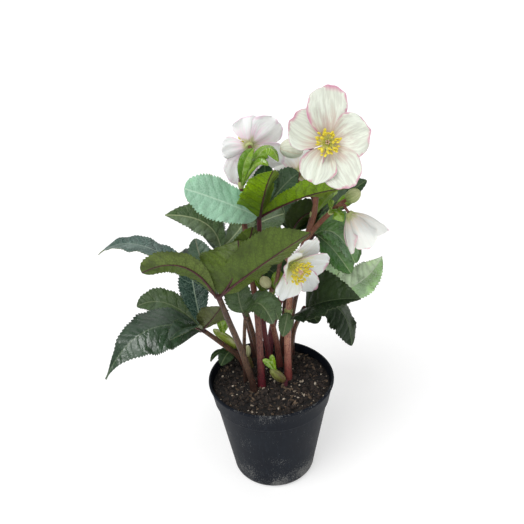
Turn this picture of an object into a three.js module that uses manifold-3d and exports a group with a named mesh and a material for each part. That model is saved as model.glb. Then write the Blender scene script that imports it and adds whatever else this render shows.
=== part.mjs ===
// A potted Christmas rose (hellebore): a nursery pot of soil, basal leaves on long stalks, and
// flowering stems with bracts, buds and five-sepalled blooms. Millimetres, +Z up, origin at the middle
// of the pot's underside, front to -Y.
import * as THREE from "three";
import { mergeVertices } from "three/addons/utils/BufferGeometryUtils.js";
import Module from "manifold-3d";

const wasm = await Module();
wasm.setup();

// ---------------------------------------------------------------- driving dimensions

const POT = {
  height: 115,
  rimRadius: 65, // outside of the rolled lip
  lipHeight: 3,
  lipUnder: 0.5, // height of the slope under the lip
  lipDraft: 0.3, // how far the lip leans in at its top
  collarHeight: 22, // the wider band below the lip
  collarTopRadius: 63.6,
  collarBottomRadius: 60.4,
  collarStep: 2, // height of the slope under the band
  bodyTopRadius: 58.6,
  bodyBottomRadius: 44,
  footRadius: 38, // the flat that it stands on
  footRise: 7, // height of the rounded edge round the foot
  footSteps: 2,
  wall: 1.5,
  floor: 2,
  drainHoles: 6,
  drainRadius: 4,
  drainCircle: 28,
  drainSides: 8,
  segments: 32,
};

const SOIL = {
  level: 107, // at the wall
  dome: 1.5, // how much higher the middle stands
  crumb: 0.8, // height of the lumps
  ripples: [0.61, 0.53, 0.23, 0.37], // radians a millimetre
  rings: 3,
  edge: 0.15, // how far the outer ring of lumps stays off the wall, in rings
};

const GAP = 0.35; // clearance between pieces that touch, such as a stalk and its socket
const ROOT_DEPTH = 24; // how far a stem stands in the soil

const TUBE = { step: 30, leastSteps: 4, sides: 6 }; // length of the straight pieces that a stem is made of

const LEAF = {
  thickness: 0.8,
  ribDepth: 0.8, // how far the midrib stands out underneath, at the base
  baseHalfWidth: 0.9,
  stalkTaper: [1.15, 0.8], // radius of the stalk at its root and at its hub, as shares of the leaf's own
  toothPitch: 17,
  teeth: [2, 6], // the fewest and the most along one edge
  toothDepth: 0.1, // share of the half width
  toothLean: 0.35, // how far a tooth leans forward, in tooth pitches
  fold: 16, // degrees that each half rises from the midrib
  waveHeight: 0.05, // of the leaflet's width
  waves: 1.4, // along the edge
  ribShare: 0.65, // lengths that the midrib is made of, for each tooth
  baseRise: 1, // how fast it widens from its base: a higher power is more wedge-shaped
  tipFall: 0.7, // how fast it narrows to its tip: a higher power is more pointed
};

// The hub is a sleeve over the end of the stalk: its wall, how far it reaches back and ahead of the
// stalk's end, the height of its leaflets' roots above the stalk's end, and how far out they start.
const HUB = { wall: 1.5, back: 3.5, ahead: 3, centre: 1.7, reach: 2.2 };

const SEPAL = {
  thickness: 0.8,
  rootRadius: 3.4,
  widest: 0.62, // share of the length where it is widest
  clawShare: 0.2, // width at its root, as a share of the greatest
  endShare: 0.6, // width at its end
  endRound: 0.13, // how far the corners of its end are drawn back, as a share of the length
  rowShares: [0, 0.34, 0.74, 1],
  columns: 4,
  cup: 0.1, // how far its edges rise, as a share of its width
  wave: 0.03, // height of its waves, as a share of its width
  waves: 5, // radians of wave along it
  lap: 8, // degrees that it rolls, so that one edge lies over its neighbour
};

const RECEPTACLE = { topRadius: 4.8, bottomRadius: 3.6, height: 5, sides: 6, socketDepth: 2.6 };

// A stamen's radii and its anther's length, the share of it that lies past the anther's widest part,
// how far the stamen is sunk in its crown, and how much of the spread and of the length differs from
// one to the next.
const STAMEN = {
  filament: 0.6,
  anther: 1.4,
  antherLength: 3.2,
  swell: 0.6,
  sides: 3,
  sunk: 0.9,
  fan: 0.7,
  vary: 0.1,
};

const GOLDEN_ANGLE = Math.PI * (3 - Math.sqrt(5)); // spreads the stamens evenly round

// The ring that carries the stamens, with its nectaries.
const CROWN = { inner: 1.9, outer: 3.2, bottom: 2.9, top: 4.2, nectary: 1.9, nectaries: 6 };

const PISTIL = { carpels: 3, sides: 4, radii: [0.95, 0.45], footOut: 0.45, headOut: 1.5, share: 0.7 };

// A bud: its facets, the sepals that wrap it, how far each stands over the next, how far the laps wind
// round it, and its girth at the base and how much of that it loses to the tip.
const BUD = {
  around: 12,
  along: 5,
  wraps: 3,
  lap: 0.14,
  wind: 0.42,
  girth: 1.12,
  taper: 0.35,
  socketDepth: 3.6,
};

// The bud of a shoot: its facets, how far it is sunk on its stem, and where its leaf tips start along it.
const SHOOT_BUD = { around: 9, along: 4, sunk: 1.5, tipsFrom: 0.6 };

const COLLAR = { wall: 1.4, height: 4.5 }; // the sheath that bracts spring from

const BRANCH = { straight: 12, swell: 1.2 }; // its straight end, and how much wider it is where it forks

// ---------------------------------------------------------------- materials

const finish = (color, roughness) => new THREE.MeshStandardMaterial({ color, roughness, metalness: 0 });

const MATERIALS = {
  pot: finish(0x23262b, 0.55),
  soil: finish(0x2b2019, 0.95),
  darkLeaf: finish(0x2c4a34, 0.4),
  greenLeaf: finish(0x4a6b2c, 0.5),
  paleLeaf: finish(0x86b295, 0.5),
  stalk: finish(0x6a4636, 0.6),
  stem: finish(0x98584a, 0.6),
  bract: finish(0x5d8a25, 0.5),
  sepal: finish(0xf0ece2, 0.6),
  bud: finish(0xe6e2bf, 0.6),
  stamen: finish(0xe3cf2f, 0.6),
  pistil: finish(0xdf9aa0, 0.6),
  shoot: finish(0x9bb04e, 0.6),
};

// ---------------------------------------------------------------- the plant

// Every leaf: where its stalk leaves the soil, the points that the stalk passes through, the hub that
// its leaflets spread from, and for each leaflet a point on its midrib halfway, its tip, its width, the
// way its upper side faces, and its fold, rise and fall where they differ from LEAF's.
const LEAVES = [
  {
    name: "leaf_front",
    material: "greenLeaf",
    root: [-18, -15],
    through: [[-27, -24, 160], [-37, -36, 205]],
    hub: [-44, -45, 237],
    radius: 3.2,
    leaflets: [
      {
        through: [-27, -50, 266],
        tip: [-24, -38, 288],
        width: 68,
        face: [-0.1, 0.9, 0.35],
        rise: 0.7,
        fall: 0.5,
      },
      { through: [-22, -34, 268], tip: [-11, -29, 296], width: 28, face: [-0.1, 0.9, 0.35] },
      { through: [-3, -60, 276], tip: [37, -60, 302], width: 54, face: [-0.3, 0.93, 0.2], fold: 34, fall: 1 },
      { through: [-70, -58, 275], tip: [-107, -52, 268], width: 30, face: [0, 0.95, 0.3], fall: 0.5 },
      { through: [-107, -18, 276], tip: [-154, -8, 266], width: 33, face: [0, 0.05, 1], fold: 10, fall: 1 },
      { through: [-58, -22, 260], tip: [-64, -8, 278], width: 23, face: [0.25, -0.6, 0.75] },
    ],
  },
  {
    name: "leaf_low_left",
    material: "darkLeaf",
    root: [-25, 14],
    through: [[-32, 12, 130], [-49, 6, 153]],
    hub: [-66, 0, 174],
    radius: 2.9,
    leaflets: [
      {
        through: [-116, -28, 194],
        tip: [-155, -52, 158],
        width: 54,
        face: [-0.2, -0.55, 0.8],
        fold: -10,
        fall: 1.5,
      },
      { through: [-102, 24, 192], tip: [-134, 26, 189], width: 32, face: [-0.1, -0.4, 0.9] },
      { through: [-74, 26, 204], tip: [-77, 44, 226], width: 33, face: [0.1, -0.7, 0.6] },
      { through: [-77, -32, 198], tip: [-92, -48, 196], width: 22, face: [0, -0.4, 0.9], fold: 34 },
      { through: [-56, -13, 193], tip: [-44, -24, 214], width: 32, face: [0.1, 0.7, 0.7] },
    ],
  },
  {
    name: "leaf_top",
    material: "greenLeaf",
    root: [2, 8],
    through: [[-5, 10, 164], [-6, 5, 236]],
    hub: [-5, 0, 293],
    radius: 2.7,
    leaflets: [
      {
        through: [1, -27, 328],
        tip: [8, -44, 351],
        width: 46,
        face: [-0.45, 0.85, 0.1],
        fold: 30,
        rise: 0.4,
        fall: 0.9,
      },
      { through: [36, -26, 320], tip: [76, -32, 326], width: 36, face: [-0.15, 0.8, 0.6], fold: 24 },
      {
        through: [-37, -25, 320],
        tip: [-65, -43, 339],
        width: 39,
        face: [0.25, -0.8, 0.55],
        fold: 8,
        rise: 0.6,
        fall: 0.45,
      },
      { through: [1, 15, 317], tip: [2, 15, 338], width: 25, face: [0, -0.9, 0.45] },
      { through: [17, 16, 314], tip: [33, 18, 327], width: 32, face: [-0.1, -0.6, 0.8] },
    ],
  },
  {
    name: "leaf_back_left",
    material: "darkLeaf",
    root: [-10, 25],
    through: [[-19, 30, 156], [-32, 34, 206]],
    hub: [-43, 32, 247],
    radius: 2.8,
    leaflets: [
      { through: [-57, 22, 280], tip: [-92, 12, 294], width: 31, face: [0.2, -0.7, 0.65], fall: 0.9 },
      { through: [-24, 46, 263], tip: [-14, 55, 278], width: 26, face: [0, -0.8, 0.6] },
      { through: [-12, 50, 262], tip: [20, 60, 270], width: 44, face: [0, -0.5, 0.85], fall: 0.5 },
      { through: [-62, 60, 268], tip: [-72, 86, 276], width: 34, face: [0, -0.2, 1] },
      { through: [-14, 30, 236], tip: [24, 25, 206], width: 44, face: [0.1, -0.8, 0.6], fall: 0.5 },
    ],
  },
  {
    name: "leaf_low_right",
    material: "darkLeaf",
    root: [20, 17],
    through: [[22, 16, 138], [27, 12, 167]],
    hub: [35, 5, 191],
    radius: 2.3,
    leaflets: [
      {
        through: [60, -16, 211],
        tip: [86, -26, 217],
        width: 70,
        face: [-0.1, -0.4, 0.85],
        fold: 30,
        rise: 0.4,
        fall: 1.1,
      },
      { through: [71, 12, 184], tip: [84, 6, 143], width: 42, face: [0.5, -0.5, 0.7], fold: -12 },
      { through: [40, -8, 194], tip: [47, -17, 187], width: 25, face: [0, -0.4, 0.9] },
    ],
  },
  {
    name: "leaf_right",
    material: "darkLeaf",
    root: [21, 31],
    through: [[25, 32, 165], [35, 30, 215]],
    hub: [46, 27, 260],
    radius: 2.5,
    leaflets: [
      { through: [67, 14, 266], tip: [84, 3, 240], width: 34, face: [0.3, -0.45, 0.85] },
      { through: [64, 22, 248], tip: [82, 12, 224], width: 34, face: [0.1, -0.6, 0.8] },
      { through: [72, 40, 262], tip: [90, 30, 226], width: 38, face: [0.3, -0.7, 0.6] },
    ],
  },
  {
    name: "leaf_back",
    material: "greenLeaf",
    root: [12, 42],
    through: [[18, 52, 165], [24, 60, 215]],
    hub: [26, 62, 246],
    radius: 2.6,
    leaflets: [
      { through: [39, 56, 268], tip: [59, 51, 276], width: 42, face: [0, 0.8, 0.6] },
      { through: [66, 72, 270], tip: [106, 76, 296], width: 36, face: [0, -0.4, 0.9] },
      { through: [20, 100, 268], tip: [20, 134, 272], width: 40, face: [0, -0.1, 1] },
    ],
  },
  {
    name: "leaf_small_front",
    material: "greenLeaf",
    root: [-27, 2],
    through: [[-26, -8, 150], [-24, -20, 184]],
    hub: [-22, -28, 207],
    radius: 2.0,
    leaflets: [
      { through: [-9, -46, 229], tip: [3, -52, 211], width: 30, face: [0.2, -0.5, 0.85], rise: 0.7 },
      { through: [-27, -31, 229], tip: [-26, -24, 246], width: 28, face: [-0.1, -0.7, 0.7], rise: 0.8 },
      { through: [-3, -19, 214], tip: [9, -17, 193], width: 22, face: [0.1, -0.8, 0.6] },
    ],
  },
  {
    name: "leaf_far_left",
    material: "darkLeaf",
    root: [-16, 42],
    through: [[-24, 52, 152], [-38, 66, 196]],
    hub: [-52, 74, 222],
    radius: 2.8,
    leaflets: [
      { through: [-84, 88, 214], tip: [-112, 96, 196], width: 38, face: [0, 0.1, 1] },
      { through: [-60, 108, 236], tip: [-70, 142, 222], width: 38, face: [0, 0.2, 1] },
      { through: [-26, 100, 234], tip: [-2, 122, 228], width: 36, face: [0, 0.2, 1] },
    ],
  },
  {
    name: "leaf_far_right",
    material: "paleLeaf",
    root: [24, 42],
    through: [[28, 47, 140], [42, 50, 164]],
    hub: [60, 48, 178],
    radius: 2.6,
    leaflets: [
      { through: [95, 31, 204], tip: [112, 14, 240], width: 34, face: [-0.1, -0.75, 0.6], fold: 8, fall: 1 },
      { through: [92, 66, 190], tip: [114, 78, 178], width: 38, face: [0.1, 0, 1] },
      { through: [66, 84, 194], tip: [66, 120, 184], width: 38, face: [0, 0.1, 1] },
    ],
  },
  {
    name: "leaf_seedling",
    material: "darkLeaf",
    root: [-31, 28],
    through: [[-32, 28, 116]],
    hub: [-35, 28, 125],
    radius: 1.4,
    leaflets: [
      { through: [-44, 20, 131], tip: [-52, 12, 121], width: 18, face: [0, -0.6, 0.8] },
      { through: [-53, 22, 132], tip: [-63, 16, 124], width: 7, face: [0, -0.2, 1] },
    ],
  },
];

// Every open bloom: the middle of its receptacle, the way it faces, and its sepals, each with its
// angle about the axis, its length and width, the degrees that it rises at its root and the degrees
// that it curls.
const BLOOMS = [
  {
    name: "bloom_front",
    at: [53, -34, 369],
    facing: [-0.1, -0.92, 0.36],
    sepals: [
      { angle: 91, length: 43, width: 32, rise: 20, curl: 8 },
      { angle: 147, length: 33, width: 37, rise: 12, curl: 14 },
      { angle: 248, length: 32, width: 31, rise: 12, curl: 6 },
      { angle: 298, length: 38, width: 33, rise: 18, curl: -6 },
      { angle: 16, length: 32, width: 37, rise: 11, curl: 10 },
    ],
    stamens: { count: 12, length: 11, spread: 60 },
  },
  {
    name: "bloom_turned",
    at: [-11, 28, 352],
    facing: [-0.1, 0.93, 0.3],
    sepals: [
      { angle: 94, length: 24, width: 32, rise: 12, curl: 10 },
      { angle: 148, length: 31, width: 38, rise: 6, curl: 10 },
      { angle: 217, length: 34, width: 34, rise: -6, curl: 8 },
      { angle: 288, length: 40, width: 32, rise: -8, curl: 6 },
      { angle: 340, length: 23, width: 27, rise: 4, curl: 8 },
    ],
    stamens: { count: 3, length: 11, spread: 44 },
  },
  {
    name: "bloom_nodding",
    at: [77, -6, 294],
    facing: [0.52, -0.18, -0.83],
    sepals: [
      { angle: 90, length: 35, width: 27, rise: 42, curl: 34 },
      { angle: 162, length: 35, width: 26, rise: 46, curl: 32 },
      { angle: 234, length: 34, width: 26, rise: 48, curl: 30 },
      { angle: 306, length: 35, width: 26, rise: 46, curl: 32 },
      { angle: 18, length: 35, width: 28, rise: 42, curl: 32 },
    ],
    stamens: { count: 3, length: 10, spread: 6 },
  },
  {
    name: "bloom_low",
    at: [22, -22, 255],
    facing: [0.56, -0.78, -0.22],
    sepals: [
      { angle: 62, length: 31, width: 37, rise: 6, curl: 26 },
      { angle: -8, length: 35, width: 34, rise: 24, curl: -6 },
      { angle: 142, length: 23, width: 30, rise: 40, curl: -16 },
      { angle: 238, length: 31, width: 28, rise: 38, curl: -30 },
      { angle: 308, length: 38, width: 21, rise: 34, curl: -26 },
    ],
    stamens: { count: 12, length: 17, spread: 38 },
  },
  {
    name: "bloom_hidden",
    at: [36, 40, 320],
    facing: [0.35, 0.86, 0.3],
    sepals: [
      { angle: 54, length: 24, width: 26, rise: 18, curl: 6 },
      { angle: 126, length: 24, width: 26, rise: 14, curl: 8 },
      { angle: 198, length: 28, width: 26, rise: 10, curl: 8 },
      { angle: 270, length: 30, width: 28, rise: 10, curl: 6 },
      { angle: 342, length: 30, width: 28, rise: 14, curl: 8 },
    ],
    stamens: { count: 3, length: 11, spread: 40 },
  },
];

// Every bud: the middle of its base, the way it points, its length and its greatest radius.
const BUDS = [
  { name: "bud_large", at: [36, 12, 352], pointing: [-0.9, -0.35, 0.15], length: 21, radius: 9.5 },
  { name: "bud_green", at: [75, 1, 306], pointing: [0.65, -0.4, 0.6], length: 15, radius: 6.4 },
  { name: "bud_low", at: [1, -4, 223], pointing: [-0.4, -0.35, 0.8], length: 14, radius: 5.4 },
];

// Every flowering stem: its root and points, then the branches that leave it, each running on to a
// bloom or bud, and the collar of bracts where it forks.
const STEMS = [
  {
    name: "stem_turned",
    root: [-10, -9],
    through: [[-11, -5, 190], [-16, 6, 245], [-20, 12, 300]],
    end: [-20, 14, 326],
    radius: [4.0, 2.3],
    branches: [{ to: "bloom_turned", through: [[-14, 12, 341]], radius: 1.7 }],
    collar: { run: 0, at: 0.975 },
    bracts: [
      { through: [-16, 6, 342], tip: [-7, 3, 356], width: 13, face: [0.1, -0.8, 0.5], fold: 24 },
      { through: [2, 3, 355], tip: [14, -1, 345], width: 16, face: [0.3, -0.5, 0.8], fold: -24 },
      { through: [-6, 2, 342], tip: [5, -2, 342], width: 9, face: [0, -0.6, 0.8], fold: 20 },
    ],
  },
  {
    name: "stem_main",
    root: [18, 1],
    through: [[18, -1, 158], [21, -3, 206], [29, 5, 238]],
    end: [38, 10, 264],
    radius: [3.9, 3.0],
    branches: [
      { to: "bloom_front", through: [[46, 10, 288], [48, 6, 312], [51, -4, 342]], radius: 2.2 },
      { through: [[51, 8, 281]], end: [66, 2, 299], radius: 2.2 },
      { to: "bud_green", from: [66, 2, 299], through: [], radius: 1.6 },
      { to: "bloom_nodding", from: [66, 2, 299], through: [[69, -4, 303], [74, -6, 303]], radius: 1.2 },
    ],
    collar: { run: 2, at: 0.84 },
    bracts: [
      { through: [76, 10, 300], tip: [88, 10, 308], width: 15, face: [-0.3, -0.6, 0.7], fold: 30 },
      { through: [60, -4, 301], tip: [62, -9, 309], width: 12, face: [-0.6, -0.5, 0.6], fold: 20 },
      { through: [65, -7, 297], tip: [70, -11, 290], width: 13, face: [0.2, -0.8, 0.5], fold: -20 },
    ],
  },
  {
    name: "stem_low",
    root: [10, 24],
    through: [[8, 20, 138], [3, 13, 177]],
    end: [4, 3, 217],
    radius: [3.5, 2.4],
    branches: [
      { to: "bloom_low", through: [[9, -3, 229]], radius: 1.7 },
      { to: "bud_low", through: [], radius: 1.5 },
    ],
    collar: { run: 0, at: 0.95 },
    bracts: [
      { through: [9, -4, 227], tip: [13, -5, 239], width: 13, face: [0, 0.9, 0.4], fold: 26 },
      { through: [-7, -3, 223], tip: [-12, -8, 236], width: 9, face: [0.5, -0.7, 0.5], fold: 22 },
    ],
  },
  {
    name: "stem_hidden",
    root: [-2, 36],
    through: [[8, 48, 160], [38, 43, 240]],
    end: [50, 37, 288],
    radius: [4.2, 2.4],
    branches: [
      { to: "bloom_hidden", through: [[44, 31, 304]], radius: 1.8 },
      { to: "bud_large", through: [[54, 28, 322]], radius: 1.7 },
    ],
    collar: { run: 0, at: 0.95 },
    bracts: [
      { through: [60, 42, 292], tip: [72, 44, 297], width: 15, face: [0.1, -0.4, 0.9], fold: 20 },
      { through: [58, 28, 295], tip: [66, 23, 306], width: 13, face: [-0.2, 0.8, 0.5], fold: 20 },
    ],
  },
];

// The small leaf that sheathes the main stem halfway up, and hangs in front of it.
const STEM_LEAF = {
  stem: 1,
  at: 0.6,
  leaflet: { through: [17, -12, 189], tip: [13, -13, 171], width: 15, face: [-0.1, -0.9, 0.3], fold: 10 },
};

// Young shoots at the crown: a short stem, a swollen bud on it and the leaf tips that break from the bud.
const SHOOTS = [
  {
    name: "shoot_left",
    root: [-20, 25],
    through: [[-25, 22, 126]],
    end: [-34, 16, 141],
    radius: [2.6, 2.2],
    bud: { length: 35, radius: 5.2, pointing: [-0.67, -0.1, 0.74] },
    tips: [
      { through: [-48, 10, 175], tip: [-51, 8, 186], width: 10, face: [0, -0.9, 0.3] },
      { through: [-44, 11, 174], tip: [-41, 9, 184], width: 9, face: [0, -0.9, 0.3] },
    ],
  },
  {
    name: "shoot_middle",
    root: [-22, -1],
    through: [[-23, 1, 126]],
    end: [-23, 1, 141],
    radius: [1.8, 1.4],
    bud: { length: 14, radius: 3.2, pointing: [0.05, -0.1, 1] },
    tips: [],
  },
  {
    name: "shoot_right",
    root: [14, -8],
    through: [[14, -8, 111]],
    end: [14, -8, 114],
    radius: [3.4, 3.0],
    bud: { length: 24, radius: 5, pointing: [-0.6, -0.2, 0.78] },
    tips: [
      { through: [-2, -13, 139], tip: [-8, -14, 144], width: 7, face: [0, -0.7, 0.6] },
      { through: [2, -12, 141], tip: [2, -12, 149], width: 6, face: [0, -0.8, 0.5] },
    ],
  },
];

// ---------------------------------------------------------------- solids

const vector = ([x, y, z]) => new THREE.Vector3(x, y, z);
const radians = THREE.MathUtils.degToRad;

/** A closed geometry as a manifold-3d solid. */
function toSolid(geometry) {
  const bare = new THREE.BufferGeometry().setAttribute("position", geometry.getAttribute("position"));
  bare.setIndex(geometry.index);
  const merged = mergeVertices(bare, 1e-4);
  const vertProperties = merged.getAttribute("position").array;
  const triVerts = new Uint32Array(merged.index.array);
  return new wasm.Manifold(new wasm.Mesh({ numProp: 3, vertProperties, triVerts }));
}

/** A manifold-3d solid as a three.js geometry. */
function toGeometry(solid) {
  const mesh = solid.getMesh();
  const geometry = new THREE.BufferGeometry();
  geometry.setAttribute("position", new THREE.BufferAttribute(new Float32Array(mesh.vertProperties), 3));
  geometry.setIndex(new THREE.BufferAttribute(new Uint32Array(mesh.triVerts), 1));
  geometry.computeVertexNormals();
  return geometry;
}

/** Several solids fused into one. */
const fuse = (solids) => wasm.Manifold.union(solids);

/** The largest body of a solid, without the scraps that a cut leaves. */
function mainBody(solid) {
  return solid.decompose().reduce((best, body) => (body.volume() > best.volume() ? body : best));
}

/** A named mesh of a solid. */
function piece(name, material, solid) {
  const mesh = new THREE.Mesh(toGeometry(mainBody(solid)), MATERIALS[material]);
  mesh.name = name;
  return mesh;
}

/** A closed geometry from a list of points and of triangles. */
function closedGeometry(points, triangles) {
  const geometry = new THREE.BufferGeometry().setFromPoints(points);
  return geometry.setIndex(triangles);
}

/**
 * A thin closed sheet. Its points hold a place, a normal and the depth over and under it, the triangles wind
 * anticlockwise seen from above, and the outline runs the same way round.
 */
function closedSheet(points, triangles, outline) {
  const count = points.length;
  const over = points.map(({ place, normal, over }) => place.clone().addScaledVector(normal, over));
  const under = points.map(({ place, normal, under }) => place.clone().addScaledVector(normal, -under));
  const index = [];
  for (const [a, b, c] of triangles) index.push(a, b, c, count + a, count + c, count + b);
  outline.forEach((a, i) => {
    const b = outline[(i + 1) % outline.length];
    index.push(count + a, count + b, b, count + a, b, a);
  });
  return closedGeometry([...over, ...under], index);
}

/** How many lengths a tube along a curve is made of. */
const tubeSteps = (curve) => Math.max(TUBE.leastSteps, Math.round(curve.getLength() / TUBE.step));

/** A closed tube that tapers along a curve, made wider and longer all round by grow. */
function taperedTube(curve, [startRadius, endRadius], options = {}) {
  const { sides = TUBE.sides, grow = 0, steps = tubeSteps(curve) } = options;
  const { tangents, normals, binormals } = curve.computeFrenetFrames(steps, false);
  const points = [];
  for (let i = 0; i <= steps; i++) {
    const centre = curve.getPointAt(i / steps);
    if (i === 0) centre.addScaledVector(tangents[i], -grow);
    if (i === steps) centre.addScaledVector(tangents[i], grow);
    const radius = THREE.MathUtils.lerp(startRadius, endRadius, i / steps) + grow;
    for (let s = 0; s < sides; s++) {
      const turn = (2 * Math.PI * s) / sides;
      points.push(
        centre
          .clone()
          .addScaledVector(normals[i], radius * Math.cos(turn))
          .addScaledVector(binormals[i], radius * Math.sin(turn)),
      );
    }
  }
  const index = [];
  const last = steps * sides;
  for (let s = 0; s < sides; s++) {
    const next = (s + 1) % sides;
    for (let i = 0; i < last; i += sides) {
      index.push(i + s, i + next, i + sides + next, i + s, i + sides + next, i + sides + s);
    }
    if (s > 0 && next > 0) index.push(0, next, s, last, last + s, last + next);
  }
  return closedGeometry(points, index);
}

/** A smooth curve through points. */
const smoothCurve = (points) => new THREE.CatmullRomCurve3(points, false, "centripetal");

// ---------------------------------------------------------------- pot and soil

/** A closed ring or disc from a profile of [radius, height] pairs that starts and ends on the axis. */
function turned(profile) {
  const points = profile.map(([radius, height]) => new THREE.Vector2(radius, height));
  return toSolid(new THREE.LatheGeometry(points, POT.segments).rotateX(Math.PI / 2));
}

/** Points of [radius, height] round the foot's edge, from the flat to the side. */
function footEdge() {
  const out = POT.bodyBottomRadius - POT.footRadius;
  return Array.from({ length: POT.footSteps + 1 }, (_, i) => {
    const turn = (Math.PI / 2) * (i / POT.footSteps);
    return [POT.footRadius + out * Math.sin(turn), POT.footRise * (1 - Math.cos(turn))];
  });
}

/** Points of [radius, height] up the inside of the pot, from its floor, moved in by a clearance. */
function insideProfile(top, clearance = 0) {
  const shoulder = POT.height - POT.collarHeight;
  const share = (top - shoulder) / POT.collarHeight;
  const topRadius = THREE.MathUtils.lerp(POT.bodyTopRadius, POT.collarTopRadius, share);
  return [
    [POT.footRadius - clearance, POT.floor + clearance],
    [POT.bodyBottomRadius - POT.wall - clearance, POT.footRise],
    [POT.bodyTopRadius - POT.wall - clearance, shoulder],
    [topRadius - POT.wall - clearance, top],
  ];
}

function pot() {
  const { height } = POT;
  const shoulder = height - POT.collarHeight;
  const lip = height - POT.lipHeight;
  const outer = [
    [0, 0],
    ...footEdge(),
    [POT.bodyTopRadius, shoulder - POT.collarStep],
    [POT.collarBottomRadius, shoulder],
    [POT.collarTopRadius, lip],
    [POT.rimRadius, lip + POT.lipUnder],
    [POT.rimRadius - POT.lipDraft, height],
  ];
  const shell = turned([...outer, ...insideProfile(height).reverse(), [0, POT.floor]]);
  const { drainHoles, drainRadius, drainCircle, drainSides } = POT;
  const holes = Array.from({ length: drainHoles }, (_, i) => {
    const turn = (2 * Math.PI * (i + 0.5)) / drainHoles;
    const hole = new THREE.CylinderGeometry(drainRadius, drainRadius, POT.floor * 3, drainSides);
    hole.rotateX(Math.PI / 2);
    return toSolid(hole.translate(drainCircle * Math.cos(turn), drainCircle * Math.sin(turn), POT.floor / 2));
  });
  return shell.subtract(fuse(holes));
}

/** Height of the soil's crumbly surface at a point. */
function soilHeight(x, y) {
  const radius = Math.hypot(x, y);
  const dome = SOIL.dome * (1 - (radius / POT.bodyTopRadius) ** 2);
  const [shortX, shortY, longX, longY] = SOIL.ripples;
  const lumps = Math.sin(x * shortX + 1) * Math.sin(y * shortY) + Math.sin(x * longX - y * longY) / 2;
  return SOIL.level + dome + SOIL.crumb * lumps;
}

/** The soil with a hole for every stem. */
function soil(holes) {
  const { segments } = POT;
  const wall = insideProfile(SOIL.level - 1, GAP);
  const points = [];
  const ring = (radius, heightAt) => {
    for (let s = 0; s < segments; s++) {
      const turn = (2 * Math.PI * s) / segments;
      const [x, y] = [radius * Math.sin(turn), -radius * Math.cos(turn)];
      points.push(new THREE.Vector3(x, y, heightAt(x, y)));
    }
  };
  for (const [radius, height] of wall) ring(radius, () => height);
  const [edgeRadius] = wall[wall.length - 1];
  for (let k = SOIL.rings; k >= 1; k--) ring((edgeRadius * (k - SOIL.edge)) / SOIL.rings, soilHeight);
  const rows = points.length / segments;
  const index = [];
  for (let s = 0; s < segments; s++) {
    const next = (s + 1) % segments;
    for (let r = 0; r < rows - 1; r++) {
      const [a, b] = [r * segments, (r + 1) * segments];
      index.push(a + s, a + next, b + next, a + s, b + next, b + s);
    }
    const [floorCentre, topCentre, top] = [points.length, points.length + 1, (rows - 1) * segments];
    index.push(floorCentre, next, s, topCentre, top + s, top + next);
  }
  points.push(new THREE.Vector3(0, 0, wall[0][1]), new THREE.Vector3(0, 0, soilHeight(0, 0)));
  return toSolid(closedGeometry(points, index)).subtract(fuse(holes));
}

// ---------------------------------------------------------------- leaves

/** Share of its greatest width that a leaflet has at t, from its base at 0 to its tip at 1. */
function leafletShape(t, rise, fall) {
  const peak = rise / (rise + fall);
  return (t ** rise * (1 - t) ** fall) / (peak ** rise * (1 - peak) ** fall);
}

/** The triangles between two rows of points, each with its place t along the strip that they bound. */
function strip(row, edge) {
  const triangles = [];
  let [i, j] = [0, 0];
  while (i < row.length - 1 || j < edge.length - 1) {
    const alongEdge = i === row.length - 1 || (j < edge.length - 1 && edge[j + 1].t <= row[i + 1].t);
    const next = alongEdge ? edge[j + 1] : row[i + 1];
    triangles.push([row[i].id, edge[j].id, next.id]);
    if (alongEdge) j++;
    else i++;
  }
  return triangles;
}

/** A toothed leaflet from a base point: see LEAVES for what describes it. */
function leaflet(base, { through, tip, width, face, ...form }) {
  const { fold = LEAF.fold, rise = LEAF.baseRise, fall = LEAF.tipFall } = form;
  const [middle, end] = [vector(through), vector(tip)];
  const bend = middle.multiplyScalar(2).addScaledVector(base, -0.5).addScaledVector(end, -0.5);
  const rib = new THREE.QuadraticBezierCurve3(base, bend, end);
  const length = rib.getLength();
  const teeth = THREE.MathUtils.clamp(Math.round(length / LEAF.toothPitch), ...LEAF.teeth);
  const half = LEAF.thickness / 2;
  const points = [];
  const add = (place, normal, under = half) => points.push({ place, normal, over: half, under }) - 1;
  const frameAt = (t) => {
    const tangent = rib.getTangent(t);
    const normal = vector(face).projectOnPlane(tangent).normalize();
    return { tangent, normal, across: new THREE.Vector3().crossVectors(tangent, normal) };
  };

  const ribSteps = Math.max(2, Math.ceil(teeth * LEAF.ribShare));
  const ribRow = Array.from({ length: ribSteps }, (_, i) => {
    const t = i / ribSteps;
    return { t, id: add(rib.getPoint(t), frameAt(t).normal, half + LEAF.ribDepth * (1 - t)) };
  });
  const tipPoint = { t: 1, id: add(end, frameAt(1).normal) };
  const edgeRow = (side) =>
    Array.from({ length: 2 * teeth }, (_, i) => {
      const t = i / (2 * teeth);
      const onTooth = i % 2 === 1;
      const { tangent, normal, across } = frameAt(t);
      const share = leafletShape(t, rise, fall) * (onTooth ? 1 : 1 - LEAF.toothDepth);
      const reach = Math.max(LEAF.baseHalfWidth, (width / 2) * share);
      const wave = LEAF.waveHeight * width * Math.sin(2 * Math.PI * LEAF.waves * t + side) * share;
      const place = rib
        .getPoint(t)
        .addScaledVector(across, side * reach * Math.cos(radians(fold)))
        .addScaledVector(normal, reach * Math.sin(radians(fold)) + wave)
        .addScaledVector(tangent, onTooth ? (LEAF.toothLean * length) / (2 * teeth) : 0);
      return { t, id: add(place, normal) };
    });
  const [right, left] = [edgeRow(1), edgeRow(-1)];
  const triangles = [
    ...strip(ribRow, [...right, tipPoint]),
    ...strip(ribRow, [...left, tipPoint]).map(([a, b, c]) => [a, c, b]),
  ];
  const outline = [...right, tipPoint, ...left.reverse(), ribRow[0]].map(({ id }) => id);
  return toSolid(closedSheet(points, triangles, outline));
}

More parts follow.
